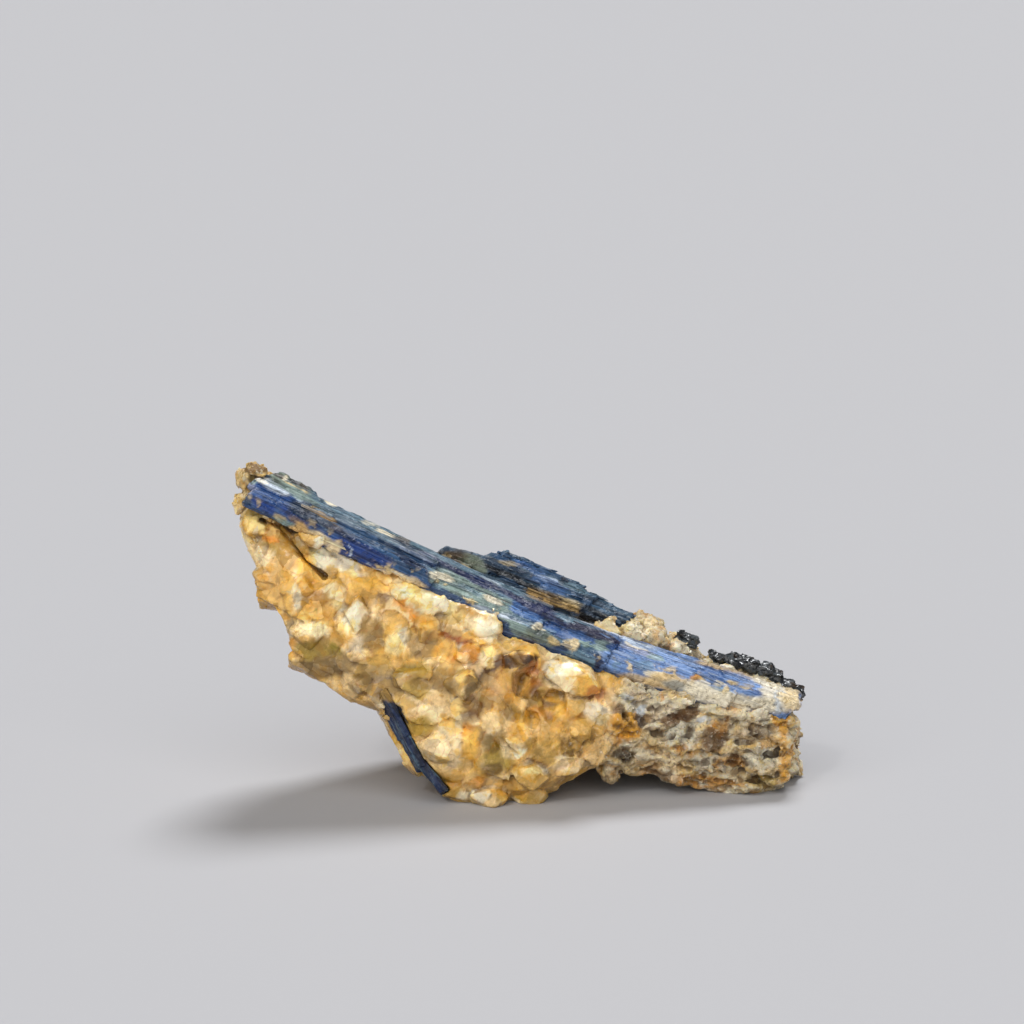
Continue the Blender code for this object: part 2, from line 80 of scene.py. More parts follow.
def on_sheet(points):
    """Where each point appears on the upright sheet: x and z."""
    eye = np.array(CAMERA_PLACE)
    share = (SHEET_Y - eye[1]) / (points[:, 1] - eye[1])
    return (eye + (points - eye) * share[:, None])[:, (0, 2)]


def on_surface(tree, x, z):
    """The point of a mineral seen at x, z of the sheet, or None."""
    eye = Vector(CAMERA_PLACE)
    return tree.ray_cast(eye, (Vector((x, SHEET_Y, z)) - eye).normalized())[0]


# ---------------------------------------------------------------- colours and fields

COLORS = {
    # quartz and its crusts
    "white": "#fff2d2", "cream": "#fde5b4", "pale": "#eed7a8", "blush": "#f1d6a6", "tan": "#dcb068",
    "honey": "#ebb74c", "yellow ochre": "#e6a528", "amber": "#df9114", "rust": "#a4590e", "umber": "#624014",
    "bronze": "#b98a38", "olive": "#877818", "moss": "#a98d38", "smoky": "#9f7f46", "dark smoky": "#6b5224",
    "dusk": "#8e7658", "grey": "#cdc2ac", "black brown": "#1f1206", "crust": "#dfc086", "crumb": "#dcc28a",
    "chalk": "#f0e4c6", "mica": "#d3cdb8", "ochre": "#c98d34", "sugar": "#d0a250", "ice": "#c6d2de",
    # kyanite
    "royal": "#06337a", "deep blue": "#17488a", "blue": "#4772b2", "navy": "#0d1f40", "indigo": "#0f1b4a",
    "plum": "#201d38", "steel": "#244c74", "slate": "#5f7d8e", "night": "#1f344a", "sea grey": "#8ba198",
    "lavender blue": "#7192c6", "lavender": "#9499b2", "olive grey": "#76806c", "gold tan": "#bd9a5e",
    "black": "#0f1015", "bark": "#50402a",
}


def linear(code):
    """An sRGB hex value as linear red, green, blue and alpha."""
    parts = [int(code[i:i + 2], 16) / 255 for i in (1, 3, 5)]
    return [c / 12.92 if c <= 0.04045 else ((c + 0.055) / 1.055) ** 2.4 for c in parts] + [1.0]


def random_at(cells, seed):
    """A repeatable random number from 0 to 1 for each row of whole numbers, by mixing their bits with
    large primes."""
    mask = np.uint64(0xFFFFFFFF)
    mixed = np.full(len(cells), (seed * 0x9E3779B1 + 0x7F4A7C15) & 0xFFFFFFFF, np.uint64)
    for axis, prime in enumerate((0x8DA6B343, 0xD8163841, 0xCB1AB31F)):
        mixed ^= (cells[:, axis].astype(np.int64).astype(np.uint64) * np.uint64(prime)) & mask
        mixed = (mixed * np.uint64(0x2C1B3C6D)) & mask
        mixed ^= mixed >> np.uint64(13)
    mixed = (mixed * np.uint64(0x297A2D39)) & mask
    mixed ^= mixed >> np.uint64(15)
    return (mixed & np.uint64(0xFFFFFF)).astype(float) / 0xFFFFFF


FAR = 99.0                  # further than any crystal's middle, as a share of its size
SPREAD = 1.6                # brings layered noise, which gathers near 0, back to about -1 to 1


def smooth_noise(points, size, seed):
    """Value noise from -1 to 1 with features about `size` mm across. size may differ by axis."""
    scaled = points / np.asarray(size, float)
    low = np.floor(scaled)
    part = scaled - low
    part = part * part * (3 - 2 * part)
    total = np.zeros(len(points))
    for corner in range(8):
        step = np.array([(corner >> axis) & 1 for axis in range(3)])
        weight = np.prod(np.where(step, part, 1 - part), axis=1)
        total += weight * random_at(low + step, seed)
    return 2 * total - 1


def rough_noise(points, size, seed, octaves=4, fade=0.5):
    """Layered noise: each octave is half as wide and `fade` as strong."""
    total, strength, reach = np.zeros(len(points)), 1.0, 0.0
    for octave in range(octaves):
        total += strength * smooth_noise(points, np.asarray(size, float) / 2 ** octave, seed + 17 * octave)
        reach += strength
        strength *= fade
    return SPREAD * total / reach


def crystal_cells(points, size, seed):
    """The Voronoi cell each point is in: its whole-number name, the way to the point from its middle,
    and how far the point is inside the cell's border, as a share of size."""
    scaled = points / np.asarray(size, float)
    base = np.floor(scaled)
    best = np.full(len(points), FAR)
    second = np.full(len(points), FAR)
    name = np.zeros((len(points), 3))
    away = np.zeros((len(points), 3))
    for corner in range(27):
        cell = base + np.array([corner % 3, corner // 3 % 3, corner // 9]) - 1
        middle = cell + np.stack([random_at(cell, seed + axis) for axis in range(3)], axis=1)
        offset = scaled - middle
        distance = np.linalg.norm(offset, axis=1)
        nearer = distance < best
        second = np.where(nearer, best, np.minimum(second, distance))
        best = np.where(nearer, distance, best)
        name[nearer] = cell[nearer]
        away[nearer] = offset[nearer]
    return name, away * np.asarray(size, float), second - best


def broken_faces(away, owner, seed, slope, lift, planes=2):
    """The height of a crystal broken along a few random flat faces, each tilted by up to slope."""
    lowest = np.full(len(away), FAR)
    for k in range(planes):
        turn = random_at(owner, seed + 31 * k) * 2 * math.pi
        tilt = random_at(owner, seed + 31 * k + 7) * 2 - 1
        flat = np.sqrt(1 - tilt * tilt)
        facing = np.stack([np.cos(turn) * flat, np.sin(turn) * flat, tilt], axis=1)
        height = slope * np.einsum("ij,ij->i", facing, away) + lift * random_at(owner, seed + 31 * k + 13)
        lowest = np.minimum(lowest, height)
    return lowest


def ease(low, high, value):
    """0 below low, 1 above high, smooth between."""
    part = np.clip((value - low) / (high - low), 0, 1)
    return part * part * (3 - 2 * part)


def blob(points, middle, reach, seed, ragged=0.35, grain=1.6):
    """1 inside an uneven ellipsoid patch and 0 outside it."""
    gap = (points - np.asarray(middle, float)) / np.asarray(reach, float)
    wander = rough_noise(points, grain, seed, 3) * ragged
    return 1 - ease(0.8, 1.15, np.linalg.norm(gap, axis=1) + wander)


def all_one(color, count):
    """The same colour for each of count corners: a name or a hex value."""
    return np.tile(linear(COLORS.get(color, color))[:3], (count, 1))


def blend_in(colors, color, amount):
    """Colours with another laid over them by amount: a name, a hex value or a row for each point."""
    if isinstance(color, str):
        color = np.array(linear(COLORS.get(color, color))[:3])
    amount = np.asarray(amount)[:, None]
    return colors * (1 - amount) + color * amount


ELLIPSE = 2                 # how square a marking's outline is
BAR = 3


def lay_patches(colors, points, patches, softness, warp, square=ELLIPSE):
    """Lays each marking on the colours: x, z, half length, half width, lean in degrees, colour, strength."""
    seen = on_sheet(points) + warp
    for x, z, long, wide, lean, color, strength in patches:
        angle = math.radians(lean)
        gap = seen - (x, z)
        along = (gap[:, 0] * math.cos(angle) + gap[:, 1] * math.sin(angle)) / long
        across = (gap[:, 1] * math.cos(angle) - gap[:, 0] * math.sin(angle)) / wide
        reach = (np.abs(along) ** square + np.abs(across) ** square) ** (1 / square)
        inside = 1 - ease(1 - softness, 1 + softness, reach)
        near = inside > 0
        colors[near] = blend_in(colors[near], color, strength * inside[near])
    return colors


# ---------------------------------------------------------------- meshes

MOST_TRIANGLES = 150000     # of a piece, before its loose grains
TINY = 1e-9


class Skin:
    """A fine even mesh around a mineral's solid, held as arrays in millimetres."""

    def __init__(self, name, node, voxel, swell):
        solid_points, solid_triangles = mesh_arrays(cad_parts[node].data)
        self.name = name
        self.node = node
        self.tree = BVHTree.FromPolygons(solid_points.tolist(), solid_triangles.tolist())
        size = voxel * 1.0 * MM
        self.points, self.triangles = modified(solid_points, solid_triangles, "REMESH",
                                               {"mode": "VOXEL", "voxel_size": size})
        self.press_on(2 * voxel)
        self.find_edges()
        self.push(np.full(len(self.points), swell))
        self.colors = None

    def press_on(self, reach):
        """Lays each corner back on the solid, so that its edges stay crisp."""
        for index, point in enumerate(self.points):
            place = self.tree.find_nearest(Vector(point), reach)[0]
            if place is not None:
                self.points[index] = place

    def find_edges(self):
        sides = np.concatenate([self.triangles[:, pair] for pair in ([0, 1], [1, 2], [2, 0])])
        self.edges = np.unique(np.sort(sides, axis=1), axis=0)
        self.degree = np.maximum(np.bincount(self.edges.reshape(-1), minlength=len(self.points)), 1)[:, None]

    def normals(self):
        a, b, c = (self.points[self.triangles[:, k]] for k in range(3))
        facing = np.cross(b - a, c - a)
        total = np.stack([
            sum(np.bincount(self.triangles[:, k], facing[:, axis], len(self.points)) for k in range(3))
            for axis in range(3)
        ], axis=1)
        return total / np.maximum(np.linalg.norm(total, axis=1), TINY)[:, None]

    def push(self, height):
        self.points = self.points + self.normals() * np.asarray(height)[:, None]

    def relaxed(self, values, rounds):
        """values evened out over neighbouring corners."""
        flat = values.ndim == 1
        values = values[:, None] if flat else values
        first, second = self.edges[:, 0], self.edges[:, 1]
        count = len(values)
        for _ in range(rounds):
            total = np.stack([
                np.bincount(first, values[second, c], count) + np.bincount(second, values[first, c], count)
                for c in range(values.shape[1])
            ], axis=1)
            values = 0.5 * values + 0.5 * total / self.degree
        return values[:, 0] if flat else values

    def hollowness(self, rounds, depth):
        """1 deep in a pit, -1 on a sharp ridge, at a scale set by rounds."""
        gap = self.relaxed(self.points, rounds) - self.points
        return np.clip(np.einsum("ij,ij->i", gap, self.normals()) / depth, -1, 1)

    def thin_out(self):
        """Keeps the corners that matter to the shape, which leaves flat faces and crisp edges.
        Gives back, for each corner that is left, which corner it was."""
        tree = KDTree(len(self.points))
        for index, point in enumerate(self.points):
            tree.insert(point, index)
        tree.balance()
        share = MOST_TRIANGLES / len(self.triangles)
        if share < 1:
            self.points, self.triangles = modified(self.points, self.triangles, "DECIMATE", {"ratio": share})
            self.find_edges()
        return np.array([tree.find(point)[1] for point in self.points])

    def add_shards(self, points, triangles):
        self.triangles = np.concatenate([self.triangles, triangles + len(self.points)])
        self.points = np.concatenate([self.points, points])

    def write(self, material, slot, crease, **layers):
        mesh = mesh_from(self.points, self.triangles, self.name)
        tint = mesh.attributes.new("tint", "FLOAT_COLOR", "POINT")
        rows = np.column_stack([np.clip(self.colors, 0, 1), np.ones(len(self.points))])
        tint.data.foreach_set("color", rows.reshape(-1))
        for name, values in layers.items():
            kind, field = ("FLOAT_VECTOR", "vector") if values.ndim == 2 else ("FLOAT", "value")
            layer = mesh.attributes.new(name, kind, "POINT")
            layer.data.foreach_set(field, values.reshape(-1))
        mesh.shade_smooth()
        mesh.set_sharp_from_angle(angle=math.radians(crease))
        mesh.materials.append(material)
        piece = bpy.data.objects.new(self.name, mesh)
        bpy.context.scene.collection.objects.link(piece)
        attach(piece, "root")
        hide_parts(self.node)


def mesh_arrays(mesh):
    """A mesh's corners in millimetres and its triangles."""
    mesh.calc_loop_triangles()
    points = np.empty(len(mesh.vertices) * 3)
    mesh.vertices.foreach_get("co", points)
    triangles = np.empty(len(mesh.loop_triangles) * 3, np.int32)
    mesh.loop_triangles.foreach_get("vertices", triangles)
    return points.reshape(-1, 3) / MM, triangles.reshape(-1, 3)


def mesh_from(points, triangles, name):
    mesh = bpy.data.meshes.new(name)
    mesh.vertices.add(len(points))
    mesh.vertices.foreach_set("co", (points * MM).reshape(-1))
    mesh.loops.add(3 * len(triangles))
    mesh.loops.foreach_set("vertex_index", triangles.reshape(-1).astype(np.int32))
    mesh.polygons.add(len(triangles))
    mesh.polygons.foreach_set("loop_start", np.arange(0, 3 * len(triangles), 3, dtype=np.int32))
    mesh.update(calc_edges=True)
    return mesh


def modified(points, triangles, kind, settings):
    """A mesh's corners and triangles after one modifier."""
    mesh = mesh_from(points, triangles, "working")
    holder = bpy.data.objects.new("working", mesh)
    bpy.context.scene.collection.objects.link(holder)
    modifier = holder.modifiers.new(kind, kind)
    for key, value in settings.items():
        setattr(modifier, key, value)
    graph = bpy.context.evaluated_depsgraph_get()
    result = bpy.data.meshes.new_from_object(holder.evaluated_get(graph))
    arrays = mesh_arrays(result)
    bpy.data.objects.remove(holder)
    bpy.data.meshes.remove(mesh)
    bpy.data.meshes.remove(result)
    return arrays


def hull_shapes(rng, count, corners, boxy):
    """Small convex crystals that fit a cube with half side 1, as corners and triangles."""
    shapes = []
    for _ in range(count):
        spots = rng.normal(size=(corners, 3))
        spots /= np.linalg.norm(spots, axis=1)[:, None]
        if boxy:
            spots = np.clip(spots * 1.9, -1, 1) * rng.uniform(0.75, 1.0, (corners, 3))
        shell = bmesh.new()
        for spot in spots:
            shell.verts.new(spot)
        made = bmesh.ops.convex_hull(shell, input=shell.verts)
        inner = list(set(made["geom_interior"] + made["geom_unused"]))
        bmesh.ops.delete(shell, geom=inner, context="VERTS")
        bmesh.ops.triangulate(shell, faces=shell.faces)
        bmesh.ops.recalc_face_normals(shell, faces=shell.faces)
        shell.verts.index_update()
        shapes.append((np.array([v.co[:] for v in shell.verts]),
                       np.array([[v.index for v in face.verts] for face in shell.faces])))
        shell.free()
    return shapes


def random_turns(rng, count):
    """Random rotation matrices."""
    q = rng.normal(size=(count, 4))
    w, x, y, z = (q / np.linalg.norm(q, axis=1)[:, None]).T
    return np.stack([
        1 - 2 * (y * y + z * z), 2 * (x * y - w * z), 2 * (x * z + w * y),
        2 * (x * y + w * z), 1 - 2 * (x * x + z * z), 2 * (y * z - w * x),
        2 * (x * z - w * y), 2 * (y * z + w * x), 1 - 2 * (x * x + y * y),
    ], axis=1).reshape(-1, 3, 3)


def scatter(rng, shapes, middles, turns, sizes):
    """Copies of the shapes at middles, turned and sized: all corners, all triangles, and the copy that
    each corner is of."""
    points, triangles, owner, start = [], [], [], 0
    picks = rng.integers(len(shapes), size=len(middles))
    for index, pick in enumerate(picks):
        corners, faces = shapes[pick]
        points.append((corners * sizes[index]) @ turns[index].T + middles[index])
        triangles.append(faces + start)
        owner.append(np.full(len(corners), index))
        start += len(corners)
    return np.concatenate(points), np.concatenate(triangles), np.concatenate(owner)


# ---------------------------------------------------------------- materials

TIMES = {"operation": "MULTIPLY"}
PLUS = {"operation": "ADD"}
TIMES_PLUS = {"operation": "MULTIPLY_ADD"}
LESS = {"operation": "SUBTRACT"}
LARGER = {"operation": "MAXIMUM"}
DOT = {"operation": "DOT_PRODUCT"}
STRETCHED = {"operation": "SCALE"}
LAID_OVER = {"data_type": "RGBA"}
SEEN_THROUGH = {"data_type": "RGBA", "blend_type": "MULTIPLY"}
MIDDLE = (0.5, 0.5, 0.5)    # what a random colour or a noise comes to on average


def wire(node, **sockets):
    """Fills a node's sockets, each by its name or by i and its number, with a value, a hex colour, a
    link, or a link from another node's first output."""
    for key, value in sockets.items():
        numbered = key[0] == "i" and key[1:].isdigit()
        socket = node.inputs[int(key[1:]) if numbered else key.replace("_", " ")]
        if isinstance(value, bpy.types.Node):
            value = next(output for output in value.outputs if output.enabled)
        if isinstance(value, bpy.types.NodeSocket):
            node.id_data.links.new(value, socket)
        else:
            socket.default_value = linear(value) if isinstance(value, str) else value


def new_material(name):
    """A material, its shader, and the function that adds a node with its settings and links."""
    material = bpy.data.materials.new(name)
    material.use_nodes = True
    tree = material.node_tree

    def add(kind, settings=None, **sockets):
        made = tree.nodes.new("ShaderNode" + kind)
        for key, value in (settings or {}).items():
            setattr(made, key, value)
        wire(made, **sockets)
        return made

    return material, tree.nodes["Principled BSDF"], add


def every(across):
    """The scale of a pattern whose features are `across` millimetres wide."""
    return 1 / (across * MM)


def tilted_faces(add, place, across, steepness):
    """Height of small flat faces about `across` millimetres wide, each tilted its own way, and the
    face's own random colour."""
    cells = add("TexVoronoi", Vector=place, Scale=every(across))
    away = add("VectorMath", LESS, i0=place, i1=cells.outputs["Position"])
    lean = add("VectorMath", LESS, i0=cells.outputs["Color"], i1=MIDDLE)
    height = add("VectorMath", DOT, i0=away, i1=lean)
    return add("Math", TIMES, i0=height.outputs["Value"], i1=steepness), cells.outputs["Color"]


def bent_place(add, place, across, reach):
    """Coordinates pushed about by up to `reach` millimetres, so that cells lose their even shape."""
    noise = add("TexNoise", Vector=place, Scale=every(across), Detail=3.0, Roughness=0.6)
    centred = add("VectorMath", LESS, i0=noise.outputs["Color"], i1=MIDDLE)
    pushed = add("VectorMath", STRETCHED, i0=centred, Scale=2 * reach * MM)
    return add("VectorMath", PLUS, i0=place, i1=pushed)


def stained_quartz():
    """Massive quartz, broken by hammer and stained by iron. Glassy faces, cloudy white to honey
    inside, with a thin ochre film in the cracks. Quartz bends light at 1.54."""
    material, shader, add = new_material("stained quartz")
    place = add("TexCoord").outputs["Object"]
    tint = add("Attribute", {"attribute_name": "tint"})
    pit = add("Attribute", {"attribute_name": "pit"}).outputs["Fac"]
    gloss = add("Attribute", {"attribute_name": "gloss"}).outputs["Fac"]
    crumbly = add("Attribute", {"attribute_name": "crumbly"}).outputs["Fac"]
    solid = add("Math", LESS, i0=1.0, i1=crumbly)
    bent = bent_place(add, place, 3.03, 0.9)

    # Each broken face catches the light its own way.
    large, large_color = tilted_faces(add, bent, 2.4, 0.14)
    small, small_color = tilted_faces(add, bent, 0.8, 0.10)
    one, two, three = add("SeparateColor", Color=large_color).outputs
    shade = add("MapRange", Value=one, i3=0.84, i4=1.16)
    glint = add("MapRange", Value=add("SeparateColor", Color=small_color).outputs[1], i3=0.92, i4=1.08)
    cloud = add("TexNoise", Vector=place, Scale=every(1.667), Detail=6.0, Roughness=0.62)
    cloudy = add("MapRange", Value=cloud, i1=0.32, i2=0.68, i3=0.80, i4=1.20)
    veil = add("TexNoise", Vector=place, Scale=every(2.381), Detail=7.0, Roughness=0.66)

    # Some grains are milky, and frosted patches run over all of them.
    milky = add("Math", TIMES, i0=add("MapRange", Value=three, i1=0.78, i2=0.81), i1=solid)
    frost = add("MapRange", Value=veil, i1=0.38, i2=0.43, i3=1.0, i4=0.0)
    frosted = add("Math", TIMES_PLUS, i0=frost, i1=0.22, i2=1.0)
    lighter = add("Math", TIMES_PLUS, i0=milky, i1=0.30, i2=frosted)
    glinting = add("Math", TIMES, i0=shade, i1=glint)
    clouding = add("Math", TIMES, i0=cloudy, i1=lighter)
    light = add("Math", TIMES, i0=glinting, i1=clouding)
    clouded = add("Mix", SEEN_THROUGH, i0=1.0, i6=tint, i7=light)
    white = add("Math", TIMES, i0=add("Math", PLUS, i0=milky, i1=frost), i1=0.10)
    milk = add("Mix", LAID_OVER, i0=white, i6=clouded, i7="#ffeecc")

    # Honey-coloured grains and an iron film let less blue through.
    honeyed = add("MapRange", Value=two, i1=0.22, i2=0.25, i3=0.8, i4=0.0)
    honeyed = add("Math", TIMES, i0=honeyed, i1=solid)
    honey = add("Mix", SEEN_THROUGH, i0=honeyed, i6=milk, i7="#fff2b8")
    filmed = add("MapRange", Value=veil, i1=0.54, i2=0.62, i4=0.8)
    film = add("Mix", SEEN_THROUGH, i0=filmed, i6=honey, i7="#fde8a8")

    # Iron in the cracks between the grains, grit and rotted pits on the crumbly end, and hollows painted
    # dark brown: iron stain and painted shade.
    cracks = add("TexVoronoi", {"feature": "DISTANCE_TO_EDGE"}, Vector=bent, Scale=every(3.1))
    crack = add("MapRange", Value=cracks, i1=0.0, i2=0.04, i3=0.30, i4=0.0)
    patchy = add("MapRange", Value=cloud, i1=0.46, i2=0.56)
    crack = add("Math", TIMES, i0=crack, i1=patchy)
    rusted = add("Mix", LAID_OVER, i0=crack, i6=film, i7="#8c5514")
    grit = add("TexNoise", Vector=place, Scale=every(0.667), Detail=6.0, Roughness=0.72)
    chalk = add("Math", TIMES, i0=add("MapRange", Value=grit, i1=0.56, i2=0.64, i4=0.62), i1=crumbly)
    chalky = add("Mix", LAID_OVER, i0=chalk, i6=rusted, i7="#f3ead6")
    rotten = add("MapRange", Value=grit, i1=0.36, i2=0.44, i3=0.58, i4=0.0)
    rotten = add("Math", TIMES, i0=rotten, i1=add("Math", PLUS, i0=crumbly, i1=0.10))
    # Hollows painted dark brown: iron stain and painted shade.
    deep = add("Math", LARGER, i0=rotten, i1=add("Math", TIMES, i0=pit, i1=0.72))
    pitted_and_shaded = add("Mix", LAID_OVER, i0=deep, i6=chalky, i7="#45280c")

    # Fresh breaks are glassy and worn ones dull.
    wear = add("TexNoise", Vector=place, Scale=every(1.429), Detail=5.0)
    dull = add("MapRange", Value=wear, i1=0.3, i2=0.7, i3=0.30, i4=0.55)
    shiny = add("MapRange", Value=wear, i1=0.3, i2=0.7, i3=0.08, i4=0.20)
    lustre = add("Mix", {"data_type": "FLOAT"}, i0=gloss, i2=dull, i3=shiny)
    rugged = add("Math", TIMES_PLUS, i0=crumbly, i1=0.45 * MM, i2=0.0225 * MM)
    rugged = add("Math", TIMES, i0=grit, i1=rugged)
    height = add("Math", PLUS, i0=large, i1=small)
    height = add("Math", PLUS, i0=height, i1=rugged)
    height = add("Math", TIMES_PLUS, i0=cloud, i1=0.07 * MM, i2=height)
    bump = add("Bump", Strength=1.0, Distance=1.0, Height=height)
    wire(shader, Base_Color=pitted_and_shaded, Roughness=lustre, Normal=bump, IOR=1.54, Subsurface_Weight=0.30,
         Subsurface_Radius=(1.0, 0.75, 0.35), Subsurface_Scale=1.6 * MM)
    return material


def kyanite(name, streak_dark, streak_light, roughness):
    """Kyanite blades, split along their cleavage. Pearly flat faces with fine lengthwise striations,
    blue where the crystal is thick and grey where it is flaking. Kyanite bends light at 1.72, and its
    flaking cleavage scatters part of the mirror light."""
    material, shader, add = new_material(name)
    place = add("TexCoord").outputs["Object"]
    grain = add("Attribute", {"attribute_name": "grain"}).outputs["Vector"]
    crust = add("Attribute", {"attribute_name": "crust"}).outputs["Fac"]
    tint = add("Attribute", {"attribute_name": "tint"})
    pit = add("Attribute", {"attribute_name": "pit"}).outputs["Fac"]
    bare = add("Math", TIMES_PLUS, i0=crust, i1=-0.85, i2=1.0)

    # Streaks and split leaves, both drawn out along the blade.
    hairs = add("TexNoise", Vector=grain, Scale=1.0, Detail=5.0, Roughness=0.65)
    leaves = add("TexVoronoi", Vector=grain, Scale=0.55)
    leaf = add("SeparateColor", Color=leaves.outputs["Color"])
    shade = add("MapRange", Value=leaf, i3=0.78, i4=1.24)
    bright = add("MapRange", Value=hairs, i1=0.54, i2=0.70)
    shade = add("Math", TIMES, i0=shade, i1=add("Math", TIMES_PLUS, i0=bright, i1=0.45, i2=1.0))
    split = add("Mix", SEEN_THROUGH, i0=1.0, i6=tint, i7=shade)
    shadowed = add("MapRange", Value=hairs, i1=0.36, i2=0.50, i3=0.55, i4=0.0)
    shadowed = add("Math", TIMES, i0=shadowed, i1=bare)
    dark = add("Mix", LAID_OVER, i0=shadowed, i6=split, i7=streak_dark)
    shining = add("Math", TIMES, i0=add("Math", TIMES, i0=bright, i1=bare), i1=0.13)
    light = add("Mix", LAID_OVER, i0=shining, i6=dark, i7=streak_light)

    # Pale flecks, grit in the crusts, and hollows painted nearly black: painted shade.
    flecks = add("TexNoise", Vector=place, Scale=every(0.714), Detail=5.0, Roughness=0.75)
    pale = add("MapRange", Value=flecks, i1=0.61, i2=0.69, i4=0.30)
    flecked = add("Mix", LAID_OVER, i0=pale, i6=light, i7="#d2cfbe")
    grit = add("MapRange", Value=flecks, i1=0.36, i2=0.45, i3=0.6, i4=0.0)
    gritty = add("Mix", LAID_OVER, i0=add("Math", TIMES, i0=grit, i1=crust), i6=flecked, i7="#6e5730")
    # Hollows painted nearly black: painted shade.
    deep = add("MapRange", Value=pit, i1=0.2, i2=0.9, i4=0.70)
    pitted_and_shaded = add("Mix", LAID_OVER, i0=deep, i6=gritty, i7="#121219")

    sheen = add("MapRange", Value=hairs, i1=0.3, i2=0.7, i3=roughness - 0.1, i4=roughness + 0.18)
    chips, _ = tilted_faces(add, place, 0.7, 0.40)
    rugged = add("Math", TIMES_PLUS, i0=crust, i1=0.30 * MM, i2=0.12 * MM)
    rugged = add("Math", TIMES, i0=flecks, i1=rugged)
    height = add("Math", PLUS, i0=rugged, i1=chips)
    height = add("Math", TIMES_PLUS, i0=hairs, i1=0.14 * MM, i2=height)
    bump = add("Bump", Strength=1.0, Distance=1.0, Height=height)
    wire(shader, Base_Color=pitted_and_shaded, Roughness=sheen, Normal=bump, IOR=1.72, Specular_IOR_Level=0.25)
    return material


def black_crystal():
    """Small black crystals with a glassy lustre, dusted with pale grit in the hollows. Such minerals
    bend light at about 1.64."""
    material, shader, add = new_material("black crystal")
    place = add("TexCoord").outputs["Object"]
    tint = add("Attribute", {"attribute_name": "tint"})
    grit = add("TexNoise", Vector=place, Scale=every(0.588), Detail=5.0, Roughness=0.7)
    dust = add("MapRange", Value=grit, i1=0.60, i2=0.70, i4=0.30)
    dusty = add("Mix", LAID_OVER, i0=dust, i6=tint, i7="#8f8c80")
    lustre = add("MapRange", Value=grit, i1=0.3, i2=0.7, i3=0.14, i4=0.45)
    faces, _ = tilted_faces(add, place, 0.6, 0.6)
    bump = add("Bump", Strength=1.0, Distance=1.0, Height=faces)
    wire(shader, Base_Color=dusty, Roughness=lustre, Normal=bump, IOR=1.64)
    return material


# ---------------------------------------------------------------- quartz

